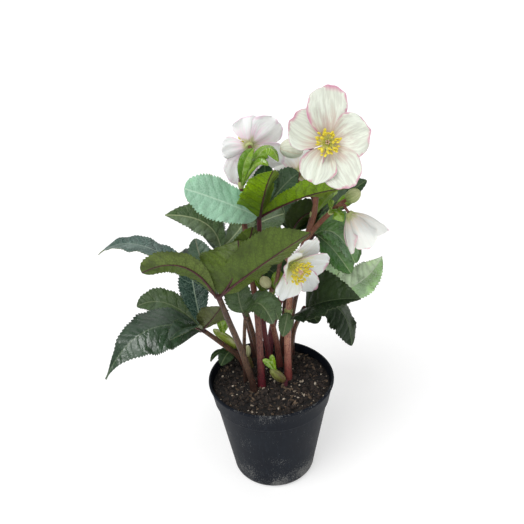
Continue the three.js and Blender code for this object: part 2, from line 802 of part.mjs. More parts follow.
/** The curve of a stem from under the soil, through its points. */
function stemCurve(root, points) {
  const foot = new THREE.Vector3(root[0], root[1], SOIL.level - ROOT_DEPTH);
  const collar = new THREE.Vector3(root[0], root[1], SOIL.level);
  return smoothCurve([foot, collar, ...points]);
}

/** A sleeve round a stem, from a point back along its direction to one ahead of it. */
function sleeve(place, direction, radius, [back, ahead]) {
  const [start, end] = [-back, ahead].map((along) => place.clone().addScaledVector(direction, along));
  return toSolid(taperedTube(new THREE.LineCurve3(start, end), [radius, radius], { steps: 1 }));
}

/** A leaf as its stalk and its blades, which spread from a hub that the stalk's end stands in. */
function leaf({ name, material, root, through, hub, radius, leaflets }) {
  const end = vector(hub);
  const curve = stemCurve(root, [...through.map(vector), end]);
  const radii = LEAF.stalkTaper.map((share) => radius * share);
  const stalk = toSolid(taperedTube(curve, radii));
  const socket = toSolid(taperedTube(curve, radii, { grow: GAP }));
  const direction = curve.getTangent(1);
  const knob = sleeve(end, direction, radii[1] + HUB.wall, [HUB.back, HUB.ahead]);
  const centre = end.clone().addScaledVector(direction, HUB.centre);
  const blades = leaflets.map((blade) => {
    const outward = vector(blade.through).sub(centre).projectOnPlane(direction).setLength(HUB.reach);
    return leaflet(centre.clone().add(outward), blade);
  });
  const whole = fuse([knob, ...blades]).subtract(socket);
  const meshes = [piece(`${name}_stalk`, "stalk", stalk), piece(`${name}_blades`, material, whole)];
  return { meshes, socket };
}

// ---------------------------------------------------------------- blooms and buds

/** Share of its greatest width that a sepal has at t, from its claw at 0 to its rounded end at 1. */
function sepalShape(t) {
  const { widest, clawShare, endShare } = SEPAL;
  if (t < widest) return clawShare + (1 - clawShare) * Math.sin((Math.PI / 2) * (t / widest));
  return 1 - (1 - endShare) * ((t - widest) / (1 - widest)) ** 2;
}

/** The point of a sepal at a row's share of its length and at v, from -1 at one edge to 1 at the other. */
function sepalPoint({ angle, length, width, rise, curl }, order, row, v) {
  const [start, turn, lap] = [radians(rise), radians(curl), radians(SEPAL.lap)];
  const axis = new THREE.Vector3(0, 0, 1);
  const radial = new THREE.Vector3(Math.cos(radians(angle)), Math.sin(radians(angle)), 0);
  const side = new THREE.Vector3().crossVectors(axis, radial);
  const out = (v * width * sepalShape(row)) / 2;
  const t = row - SEPAL.endRound * (v * row) ** 2;
  const slope = start + turn * t;
  const reach = SEPAL.rootRadius + (length * (Math.sin(slope) - Math.sin(start))) / turn;
  const height = (length * (Math.cos(start) - Math.cos(slope))) / turn;
  const normal = axis.clone().multiplyScalar(Math.cos(slope)).addScaledVector(radial, -Math.sin(slope));
  const round = (out ** 2 * Math.sin(slope)) / (2 * reach); // follows the cone of the whole bloom
  const cup = SEPAL.cup * width * v * v * Math.sin(Math.PI * t);
  const wave = SEPAL.wave * width * v * Math.sin(SEPAL.waves * t + 2 * order);
  const place = radial
    .multiplyScalar(reach)
    .addScaledVector(axis, height)
    .addScaledVector(side, out * Math.cos(lap))
    .addScaledVector(normal, round + cup + wave + out * Math.sin(lap));
  return { place, normal, over: SEPAL.thickness / 2, under: SEPAL.thickness / 2 };
}

/** A sepal in its bloom's own frame, where z is the way the bloom faces. */
function sepal(data, order) {
  const { columns, rowShares } = SEPAL;
  const wide = columns + 1;
  const last = rowShares.length - 1;
  const points = [];
  const triangles = [];
  rowShares.forEach((row, r) => {
    for (let c = 0; c <= columns; c++) {
      const a = points.push(sepalPoint(data, order, row, (2 * c) / columns - 1)) - 1;
      if (r < last && c < columns) triangles.push([a, a + wide, a + 1], [a + 1, a + wide, a + wide + 1]);
    }
  });
  const root = Array.from({ length: wide }, (_, c) => columns - c);
  const lowSide = Array.from({ length: last }, (_, r) => (r + 1) * wide);
  const end = Array.from({ length: columns }, (_, c) => last * wide + c + 1);
  const highSide = Array.from({ length: last - 1 }, (_, r) => (last - r) * wide - 1);
  return toSolid(closedSheet(points, triangles, [...root, ...lowSide, ...end, ...highSide]));
}

/** A stamen: a filament that swells to its anther. */
function stamen(foot, head) {
  const direction = head.clone().sub(foot).normalize();
  const upright = new THREE.Vector3(0, 0, 1);
  const turn = new THREE.Quaternion().setFromUnitVectors(upright, direction);
  const { filament, anther, antherLength, swell, sides } = STAMEN;
  const length = head.distanceTo(foot);
  const profile = [
    [0, 0],
    [filament, 0],
    [filament, length - antherLength],
    [anther, length - antherLength * swell],
    [0, length],
  ].map(([radius, height]) => new THREE.Vector2(radius, height));
  const lathe = new THREE.LatheGeometry(profile, sides).rotateX(Math.PI / 2);
  return toSolid(lathe.applyQuaternion(turn).translate(foot.x, foot.y, foot.z));
}

/** The crown of nectaries with the stamens that rise from it, in the bloom's own frame. */
function stamens({ count, length, spread }) {
  const { inner, outer, bottom, top, nectary, nectaries } = CROWN;
  const profile = [
    [inner, bottom],
    [outer, bottom],
    [outer, top],
    [inner, top],
    [inner, bottom],
  ].map(([radius, height]) => new THREE.Vector2(radius, height));
  const crown = new THREE.LatheGeometry(profile, 2 * nectaries).rotateX(Math.PI / 2);
  const position = crown.getAttribute("position");
  const middle = new THREE.Vector2((inner + outer) / 2, (bottom + top) / 2);
  for (let i = 0; i < position.count; i++) {
    const [x, y, z] = [position.getX(i), position.getY(i), position.getZ(i)];
    const onNectary = Math.round((Math.atan2(y, x) * nectaries) / Math.PI) % 2 !== 0;
    if (!onNectary || Math.hypot(x, y) < middle.x || z < middle.y) continue;
    const swell = (outer + nectary) / outer;
    position.setXYZ(i, x * swell, y * swell, z + nectary / 2);
  }
  const parts = [toSolid(crown)];
  for (let i = 0; i < count; i++) {
    const turn = i * GOLDEN_ANGLE;
    const lean = radians(spread) * (1 - STAMEN.fan + STAMEN.fan * Math.sqrt((i + 0.5) / count));
    const radial = new THREE.Vector3(Math.cos(turn), Math.sin(turn), 0);
    const foot = radial.clone().multiplyScalar(middle.x).setZ(top - STAMEN.sunk);
    const reach = length * (1 - STAMEN.vary * Math.sin(i) ** 2);
    const head = foot.clone().addScaledVector(radial, reach * Math.sin(lean));
    head.z += reach * Math.cos(lean);
    parts.push(stamen(foot, head));
  }
  return fuse(parts);
}

/** The pistil's carpels, which stand together within the crown, in the bloom's own frame. */
function pistil(length) {
  const { carpels, sides, radii, footOut, headOut } = PISTIL;
  const parts = Array.from({ length: carpels }, (_, i) => {
    const turn = (2 * Math.PI * i) / carpels;
    const radial = new THREE.Vector3(Math.cos(turn), Math.sin(turn), 0);
    const foot = radial.clone().multiplyScalar(footOut).setZ(CROWN.bottom);
    const head = radial.clone().multiplyScalar(headOut).setZ(CROWN.top + length);
    return toSolid(taperedTube(new THREE.LineCurve3(foot, head), radii, { steps: 1, sides }));
  });
  return fuse(parts);
}

/** A group placed at a point with its z along a direction and its y as far up as it goes. */
function facingGroup(place, direction) {
  const group = new THREE.Group();
  const axis = vector(direction).normalize();
  const across = new THREE.Vector3().crossVectors(new THREE.Vector3(0, 0, 1), axis).normalize();
  const basis = new THREE.Matrix4().makeBasis(across, new THREE.Vector3().crossVectors(axis, across), axis);
  group.position.copy(vector(place));
  group.quaternion.setFromRotationMatrix(basis);
  group.updateMatrix();
  return group;
}

/** A solid moved from the plant's frame to a group's own. */
const inGroup = (solid, group) => solid.transform(group.matrix.clone().invert().toArray());

/** An open bloom, with the socket that its stem stands in cut in the receptacle. */
function bloom({ name, at, facing, sepals, stamens: stamenSet }) {
  const group = facingGroup(at, facing);
  const { topRadius, bottomRadius, height, sides } = RECEPTACLE;
  const receptacle = new THREE.CylinderGeometry(topRadius, bottomRadius, height, sides).rotateX(Math.PI / 2);
  const whorl = fuse([toSolid(receptacle), ...sepals.map(sepal)]);
  const socket = inGroup(carrier(name).socket, group);
  group.add(piece(`${name}_sepals`, "sepal", whorl.subtract(socket)));
  group.add(piece(`${name}_stamens`, "stamen", stamens(stamenSet)));
  group.add(piece(`${name}_pistil`, "pistil", pistil(stamenSet.length * PISTIL.share)));
  return group;
}

/** An egg-shaped bud whose sepals wrap round it, each lapping over the next. */
function budShape(length, radius, { around, along } = BUD) {
  const geometry = new THREE.SphereGeometry(1, around, along).rotateX(Math.PI / 2);
  const position = geometry.getAttribute("position");
  const point = new THREE.Vector3();
  for (let i = 0; i < position.count; i++) {
    point.fromBufferAttribute(position, i);
    const height = (point.z + 1) / 2;
    const turn = Math.atan2(point.y, point.x) / (2 * Math.PI) + 0.5;
    const lapped = (BUD.wraps * turn + BUD.wind * height) % 1;
    const swell = radius * (1 + BUD.lap * (lapped - 0.5)) * (BUD.girth - BUD.taper * height);
    position.setXYZ(i, point.x * swell, point.y * swell, height * length);
  }
  return geometry;
}

/** A bud, with the socket of its stem. */
function bud({ name, at, pointing, length, radius }) {
  const group = facingGroup(at, pointing);
  const shape = toSolid(budShape(length, radius)).subtract(inGroup(carrier(name).socket, group));
  return group.add(piece(name, "bud", shape));
}

// ---------------------------------------------------------------- flowering stems

/** Where a branch ends: two points in line with the bloom or bud that it carries. */
function branchEnd(target) {
  const open = BLOOMS.find(({ name }) => name === target);
  const closed = BUDS.find(({ name }) => name === target);
  const place = vector(open ? open.at : closed.at);
  const axis = vector(open ? open.facing : closed.pointing).normalize();
  const reach = open ? RECEPTACLE.socketDepth - RECEPTACLE.height / 2 : BUD.socketDepth;
  return [reach - BRANCH.straight, reach].map((along) => place.clone().addScaledVector(axis, along));
}

/** A collar round a stem, with the bracts that spring from it. */
function collarOfBracts({ curve, radii }, at, bracts) {
  const place = curve.getPointAt(at);
  const direction = curve.getTangentAt(at);
  const radius = THREE.MathUtils.lerp(...radii, at) + COLLAR.wall;
  const half = COLLAR.height / 2;
  const blades = bracts.map((bract) => {
    const outward = vector(bract.through).sub(place).projectOnPlane(direction).normalize();
    return leaflet(place.clone().addScaledVector(outward, radius - COLLAR.wall / 2), bract);
  });
  return fuse([sleeve(place, direction, radius, [half, half]), ...blades]);
}

/** A flowering stem as its stem with branches, and the bracts that sheathe it. */
function floweringStem({ name, root, through, end, radius, branches, collar, bracts }) {
  const main = stemCurve(root, [...through.map(vector), vector(end)]);
  const runs = [{ curve: main, radii: radius }];
  for (const branch of branches) {
    const start = vector(branch.from ?? end);
    const last = branch.to ? branchEnd(branch.to) : [vector(branch.end)];
    const curve = smoothCurve([start, ...branch.through.map(vector), ...last]);
    runs.push({ curve, radii: [branch.radius * BRANCH.swell, branch.radius] });
  }
  const body = (grow) => fuse(runs.map(({ curve, radii }) => toSolid(taperedTube(curve, radii, { grow }))));
  const socket = body(GAP);
  const cluster = collarOfBracts(runs[collar.run], collar.at, bracts).subtract(socket);
  return {
    meshes: [piece(name, "stem", body(0)), piece(`${name}_bracts`, "bract", cluster)],
    carries: branches.map(({ to }) => to),
    socket,
    runs,
  };
}

const stems = STEMS.map(floweringStem);

/** The flowering stem that carries a bloom or bud. */
const carrier = (target) => stems.find(({ carries }) => carries.includes(target));

/** The leaf that sheathes a stem halfway up. */
function stemLeaf(stem) {
  const blade = collarOfBracts(stem.runs[0], STEM_LEAF.at, [STEM_LEAF.leaflet]);
  return piece("stem_main_leaf", "greenLeaf", blade.subtract(stem.socket));
}

/** A young shoot from the crown, as one piece with the bud and leaf tips that grow from it. */
function shoot({ name, root, through, end, radius, bud: tip, tips }) {
  const curve = stemCurve(root, [...through.map(vector), vector(end)]);
  const place = new THREE.Matrix4().compose(
    vector(end).addScaledVector(curve.getTangent(1), -SHOOT_BUD.sunk),
    new THREE.Quaternion().setFromUnitVectors(new THREE.Vector3(0, 0, 1), vector(tip.pointing).normalize()),
    new THREE.Vector3(1, 1, 1),
  );
  const head = toSolid(budShape(tip.length, tip.radius, SHOOT_BUD).applyMatrix4(place));
  const top = vector(end).addScaledVector(vector(tip.pointing).normalize(), tip.length * SHOOT_BUD.tipsFrom);
  const body = fuse([toSolid(taperedTube(curve, radius)), head, ...tips.map((blade) => leaflet(top, blade))]);
  return { meshes: [piece(name, "shoot", body)], socket: toSolid(taperedTube(curve, radius, { grow: GAP })) };
}

// ---------------------------------------------------------------- the whole

const hellebore = new THREE.Group();
hellebore.name = "hellebore_in_pot";

const leaves = LEAVES.map(leaf);
const shoots = SHOOTS.map(shoot);
const rooted = [...leaves, ...stems, ...shoots];

hellebore.add(piece("pot", "pot", pot()));
hellebore.add(piece("soil", "soil", soil(rooted.map(({ socket }) => socket))));
rooted.forEach(({ meshes }) => hellebore.add(...meshes));
hellebore.add(stemLeaf(stems[STEM_LEAF.stem]));
hellebore.add(...BLOOMS.map(bloom), ...BUDS.map(bud));

export default hellebore;
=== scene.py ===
"""A potted hellebore: toothed leaves on long stalks, branching stems with bracts, blooms and buds, in a pot of soil."""

import logging
import math
import random
from collections.abc import Callable, Sequence
from dataclasses import dataclass
from enum import Enum

import bpy
from mathutils import Matrix, Quaternion, Vector, noise


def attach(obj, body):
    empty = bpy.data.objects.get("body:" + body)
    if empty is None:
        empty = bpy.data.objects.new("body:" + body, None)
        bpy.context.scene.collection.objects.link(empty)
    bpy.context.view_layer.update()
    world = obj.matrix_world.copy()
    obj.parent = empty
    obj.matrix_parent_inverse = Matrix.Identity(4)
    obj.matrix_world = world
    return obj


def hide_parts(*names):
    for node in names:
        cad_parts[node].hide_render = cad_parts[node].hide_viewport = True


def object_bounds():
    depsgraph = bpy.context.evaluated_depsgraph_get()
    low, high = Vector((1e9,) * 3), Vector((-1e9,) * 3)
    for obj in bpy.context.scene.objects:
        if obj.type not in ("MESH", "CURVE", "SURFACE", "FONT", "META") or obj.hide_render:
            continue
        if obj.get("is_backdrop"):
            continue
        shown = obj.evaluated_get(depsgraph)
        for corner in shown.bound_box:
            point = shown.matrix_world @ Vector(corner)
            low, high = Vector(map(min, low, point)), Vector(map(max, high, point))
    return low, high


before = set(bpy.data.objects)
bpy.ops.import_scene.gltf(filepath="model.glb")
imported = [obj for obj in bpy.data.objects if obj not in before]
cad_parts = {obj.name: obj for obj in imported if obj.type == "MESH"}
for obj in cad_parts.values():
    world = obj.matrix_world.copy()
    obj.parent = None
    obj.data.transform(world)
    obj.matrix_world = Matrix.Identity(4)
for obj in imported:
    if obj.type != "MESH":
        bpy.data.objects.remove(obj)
cad_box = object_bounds()

LOG = logging.getLogger("hellebore")

MM = 0.001
CM = 10  # millimetres
UP = Vector((0, 0, 1))
MAP = "blade"  # the UV map of a leaf or sepal
GOLDEN_ANGLE = math.pi * (3 - math.sqrt(5))
PHASE = 6.28  # the range of a drawn phase, about a full turn

Triple = tuple[float, float, float]
Colour = tuple[float, float, float]
Spot = tuple[Vector, tuple[float, float]]
Piece = bpy.types.Object
Material = bpy.types.Material
Materials = Sequence[Material]
Socket = bpy.types.NodeSocket


# ---- small helpers


def vec(point: Sequence[float]) -> Vector:
    """A point or direction as a vector."""
    return Vector(point)


def lerp(a: float, b: float, t: float) -> float:
    """The value between a and b at t."""
    return a + (b - a) * t


def smooth(t: float) -> float:
    """A smooth step from 0 to 1."""
    t = min(1.0, max(0.0, t))
    return t * t * (3 - 2 * t)


def turns(count: int) -> list[float]:
    """Even turns about an axis, in radians."""
    return [math.tau * i / count for i in range(count)]


def radial_at(angle: float) -> Vector:
    """The level direction at an angle in radians."""
    return Vector((math.cos(angle), math.sin(angle), 0))


def dim(colour: Colour, share: float) -> Colour:
    """A colour at a share of its brightness."""
    return tuple(share * c for c in colour)


def hash_of(name: str) -> int:
    """A fixed number from a name, to seed its draws."""
    return sum((i + 7) * ord(letter) for i, letter in enumerate(name))


def deselect_all() -> None:
    """Leaves object mode with nothing selected."""
    if bpy.context.object and bpy.context.object.mode != "OBJECT":
        bpy.ops.object.mode_set(mode="OBJECT")
    bpy.ops.object.select_all(action="DESELECT")


def activate(*pieces: Piece) -> None:
    """Selects these pieces alone, with the first one active.

    Args:
        pieces: The objects, the active one first.
    """
    deselect_all()
    for piece in pieces:
        piece.select_set(True)
    bpy.context.view_layer.objects.active = pieces[0]


def join(pieces: Sequence[Piece]) -> Piece:
    """Joins pieces into the first one.

    Args:
        pieces: The objects.

    Returns:
        The joined object.
    """
    activate(*pieces)
    if len(pieces) > 1:
        bpy.ops.object.join()
    return bpy.context.object


def apply(piece: Piece, kind: str, **settings: object) -> None:
    """Adds a modifier with these settings and applies it.

    Args:
        piece: The object that is shaped.
        kind: The modifier's type.
        settings: Its values by name.
    """
    activate(piece)
    modifier = piece.modifiers.new(kind.lower(), kind)
    for key, value in settings.items():
        setattr(modifier, key, value)
    bpy.ops.object.modifier_apply(modifier=modifier.name)


def smooth_faces(piece: Piece, angle: float = 50) -> None:
    """Shades a piece smooth, apart from edges sharper than an angle in degrees."""
    activate(piece)
    bpy.ops.object.shade_smooth_by_angle(angle=math.radians(angle))


def dress(piece: Piece, *materials: Material) -> Piece:
    """Gives a piece its materials, one a slot.

    Args:
        piece: The object.
        materials: Its finishes, one a slot.

    Returns:
        The object.
    """
    piece.data.materials.clear()
    for material in materials:
        piece.data.materials.append(material)
    return piece


def paint(piece: Piece, slot: int) -> Piece:
    """Gives all the faces of a piece one of its material slots.

    Args:
        piece: The object.
        slot: The number of the material slot.

    Returns:
        The object.
    """
    for face in piece.data.polygons:
        face.material_index = slot
    return piece


def copy_of(model: Piece, place: Matrix) -> Piece:
    """A copy of a piece, with its own mesh, at a place.

    Args:
        model: What is copied.
        place: Where the copy goes.

    Returns:
        The copy.
    """
    copy = model.copy()
    copy.data = model.data.copy()
    bpy.context.collection.objects.link(copy)
    copy.data.transform(place)
    return copy


def point_outwards(piece: Piece, merge: float = 0) -> None:
    """Turns the faces of a closed piece outwards, after it merges doubled points.

    Args:
        piece: The object.
        merge: How near the points are that it merges, or 0 for none.
    """
    activate(piece)
    bpy.ops.object.mode_set(mode="EDIT")
    bpy.ops.mesh.select_all(action="SELECT")
    if merge:
        bpy.ops.mesh.remove_doubles(threshold=merge)
    bpy.ops.mesh.normals_make_consistent(inside=False)
    bpy.ops.object.mode_set(mode="OBJECT")


def settle(piece: Piece, name: str, slot: str, *nodes: str) -> None:
    """Names a finished piece and places it in the frame.

    Args:
        piece: The finished object, in millimetres.
        name: What the piece is called.
        slot: The name of a material slot; not used.
        nodes: The solids that it stands for.
    """
    piece.data.transform(Matrix.Scale(MM, 4))
    piece.name = name
    piece.data.name = name
    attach(piece, "root")
    if nodes:
        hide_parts(*nodes)
    LOG.info("%s: %d faces", name, len(piece.data.polygons))


def add_sheet(
    rows: int,
    columns: int,
    place: Callable[[float, float], Spot],
    thickness: float = 0,
    materials: Materials = (),
) -> Piece:
    """A thin curved sheet, whose upper side has the first of its materials and its underside the second.

    Args:
        rows: Faces along it.
        columns: Faces across it.
        place: Gives the point and the UV of u, from 0 to 1 along it, and v, from -1 to 1 across it.
        thickness: How thick it is made; 0 leaves it a single layer.
        materials: Its materials, one a slot.

    Returns:
        The object.
    """
    deselect_all()
    bpy.ops.mesh.primitive_grid_add(x_subdivisions=rows, y_subdivisions=columns, size=2)
    sheet = bpy.context.object
    mesh = sheet.data
    mesh.uv_layers[0].name = MAP
    spots = [place((vertex.co.x + 1) / 2, vertex.co.y) for vertex in mesh.vertices]
    for vertex, (point, _) in zip(mesh.vertices, spots):
        vertex.co = point
    for loop, corner in zip(mesh.loops, mesh.uv_layers[0].data):
        corner.uv = spots[loop.vertex_index][1]
    dress(sheet, *materials)
    if thickness:
        apply(sheet, "SOLIDIFY", thickness=thickness, offset=0, material_offset=1, material_offset_rim=1)
        smooth_faces(sheet)
    return sheet


def add_tube(points: Sequence[Vector], radii: Sequence[float], resolution: int = 4) -> Piece:
    """A closed round tube through points.

    Args:
        points: The middle of the tube.
        radii: Its radius at each point.
        resolution: How fine its section is.

    Returns:
        The object.
    """
    curve = bpy.data.curves.new("tube", "CURVE")
    curve.dimensions = "3D"
    curve.bevel_depth = 1
    curve.bevel_resolution = resolution
    curve.use_fill_caps = True
    spline = curve.splines.new("POLY")
    spline.points.add(len(points) - 1)
    for target, point, radius in zip(spline.points, points, radii):
        target.co = (*point, 1)
        target.radius = radius
    tube = bpy.data.objects.new("tube", curve)
    bpy.context.collection.objects.link(tube)
    activate(tube)
    bpy.ops.object.convert(target="MESH")
    tube = bpy.context.object
    smooth_faces(tube)
    return tube


@dataclass(frozen=True)
class SmoothCurve:
    """A centripetal Catmull-Rom curve through points."""

    points: tuple[Vector, ...]

    STEPS = 300

    def at(self, t: float) -> Vector:
        """The point at t, from 0 to 1, with the same share of t between all its points.

        Args:
            t: How far along, from 0 to 1.

        Returns:
            The point.
        """
        last = len(self.points) - 1
        i = min(last - 1, int(last * t))
        s = last * t - i
        b, c = self.points[i], self.points[i + 1]
        a = self.points[i - 1] if i > 0 else 2 * b - c
        d = self.points[i + 2] if i + 2 <= last else 2 * c - b
        middle = (c - b).length ** 0.5
        before = (b - a).length ** 0.5 or middle
        after = (d - c).length ** 0.5 or middle
        leaving = ((b - a) / before - (c - a) / (before + middle) + (c - b) / middle) * middle
        arriving = ((c - b) / middle - (d - b) / (middle + after) + (d - c) / after) * middle
        return (
            b + leaving * s + (3 * (c - b) - 2 * leaving - arriving) * s**2 + (2 * (b - c) + leaving + arriving) * s**3
        )

    def evenly(self, step: float) -> list[Vector]:
        """Points along it, about a step apart.

        Args:
            step: The distance.

        Returns:
            The points.
        """
        fine = [self.at(i / self.STEPS) for i in range(self.STEPS + 1)]
        runs = [0.0]
        for a, b in zip(fine, fine[1:]):
            runs.append(runs[-1] + (b - a).length)
        count = max(4, round(runs[-1] / step))
        result, k = [], 0
        for i in range(count + 1):
            want = runs[-1] * i / count
            while k < self.STEPS - 1 and runs[k + 1] < want:
                k += 1
            result.append(fine[k].lerp(fine[k + 1], min(1.0, (want - runs[k]) / max(1e-9, runs[k + 1] - runs[k]))))
        return result


def facing_matrix(place: Sequence[float], direction: Sequence[float]) -> Matrix:
    """The place of a bloom or bud: z along its direction, y as far up as it goes.

    Args:
        place: Where it is.
        direction: The way it faces.

    Returns:
        The place.
    """
    axis = vec(direction).normalized()
    across = UP.cross(axis).normalized()
    turn = Matrix((across, axis.cross(across), axis)).transposed()
    return Matrix.Translation(vec(place)) @ turn.to_4x4()


# ---- shader helpers


class Tree:
    """Short ways to add nodes to a material or a group and to join them."""

    def __init__(self, tree: bpy.types.NodeTree) -> None:
        """Keeps the node tree and its shader, if it has one."""
        self.tree = tree
        self.shader = tree.nodes.get("Principled BSDF")

    def add(self, kind: str, inputs: dict[str | int, object] | None = None, **settings: object) -> bpy.types.Node:
        """Adds a node.

        Args:
            kind: The node's type.
            inputs: A value or another node's socket for each input, by name or number.
            settings: The node's own settings.

        Returns:
            The node.
        """
        node = self.tree.nodes.new(kind)
        for key, value in settings.items():
            setattr(node, key, value)
        for key, value in (inputs or {}).items():
            self.feed(node.inputs[key], value)
        return node

    def feed(self, socket: Socket, value: object) -> None:
        """Links a socket to an input, or sets its value.

        Args:
            socket: The input.
            value: A number, a colour or a socket.
        """
        if isinstance(value, Socket):
            self.tree.links.new(value, socket)
        elif isinstance(value, tuple) and len(value) == 3 and socket.type == "RGBA":
            socket.default_value = (*value, 1)
        else:
            socket.default_value = value

    def set(self, name: str, value: object) -> None:
        """Feeds an input of the shader."""
        self.feed(self.shader.inputs[name], value)

    def math(self, operation: str, a: object, b: object = 0.5, clamp: bool = False) -> Socket:
        """The result of a math node."""
        return self.add("ShaderNodeMath", {0: a, 1: b}, operation=operation, use_clamp=clamp).outputs[0]

    def plus(self, a: object, b: object) -> Socket:
        """The sum of two values."""
        return self.math("ADD", a, b)

    def less(self, a: object, b: object) -> Socket:
        """The first value less the second."""
        return self.math("SUBTRACT", a, b)

    def times(self, a: object, b: object, clamp: bool = False) -> Socket:
        """The product of two values."""
        return self.math("MULTIPLY", a, b, clamp)

    def mix(self, share: object, a: object, b: object) -> Socket:
        """A colour between a and b.

        Args:
            share: How much of b.
            a: The first colour.
            b: The second colour.

        Returns:
            The colour.
        """
        node = self.add("ShaderNodeMix", data_type="RGBA")
        for name, value in (("Factor_Float", share), ("A_Color", a), ("B_Color", b)):
            self.feed(next(s for s in node.inputs if s.identifier == name), value)
        return next(s for s in node.outputs if s.identifier == "Result_Color")

    def ramp(self, value: object, low: object, high: object) -> Socket:
        """A smooth step from 0 at low to 1 at high."""
        inputs = {"Value": value, "From Min": low, "From Max": high}
        return self.add("ShaderNodeMapRange", inputs, interpolation_type="SMOOTHSTEP").outputs[0]

    def noise(self, vector: object, scale: object, detail: float = 3, rough: float = 0.55) -> Socket:
        """Noise from 0 to 1 at a place."""
        inputs = {"Vector": vector, "Scale": scale, "Detail": detail, "Roughness": rough}
        return self.add("ShaderNodeTexNoise", inputs).outputs[0]

    def place(self) -> Socket:
        """The object's own coordinates."""
        return self.add("ShaderNodeTexCoord").outputs["Object"]

    def blade(self) -> Socket:
        """The coordinates along and across a leaf or sepal."""
        return self.add("ShaderNodeUVMap", uv_map=MAP).outputs[0]

    def split(self, vector: Socket) -> tuple[Socket, ...]:
        """The three parts of a vector."""
        return tuple(self.add("ShaderNodeSeparateXYZ", {0: vector}).outputs)

    def bump(self, height: object, strength: float, distance: float) -> Socket:
        """A normal from a height; the distance is in millimetres."""
        inputs = {"Height": height, "Strength": strength, "Distance": distance * MM}
        return self.add("ShaderNodeBump", inputs).outputs[0]

    def use(self, group: bpy.types.NodeTree, inputs: dict[str, object]) -> bpy.types.bpy_prop_collection:
        """Places a group and returns its outputs.

        Args:
            group: The group.
            inputs: A value or socket for each input.

        Returns:
            Its outputs.
        """
        node = self.tree.nodes.new("ShaderNodeGroup")
        node.node_tree = group
        for key, value in inputs.items():
            self.feed(node.inputs[key], value)
        return node.outputs


def new_group(
    name: str, inputs: dict[str, float | None], outputs: Sequence[str]
) -> tuple[Tree, dict[str, Socket], bpy.types.Node]:
    """An empty shader group.

    Args:
        name: The group's name.
        inputs: The default of each number that it takes, or None for a vector.
        outputs: The names of the values that it gives.

    Returns:
        Its tree, its inputs by name and its output node.
    """
    group = bpy.data.node_groups.new(name, "ShaderNodeTree")
    for key, default in inputs.items():
        kind = "NodeSocketVector" if default is None else "NodeSocketFloat"
        socket = group.interface.new_socket(name=key, in_out="INPUT", socket_type=kind)
        if default is not None:
            socket.default_value = default
    for key in outputs:
        group.interface.new_socket(name=key, in_out="OUTPUT", socket_type="NodeSocketFloat")
    tree = Tree(group)
    entry = tree.add("NodeGroupInput")
    return tree, {key: entry.outputs[key] for key in inputs}, tree.add("NodeGroupOutput")


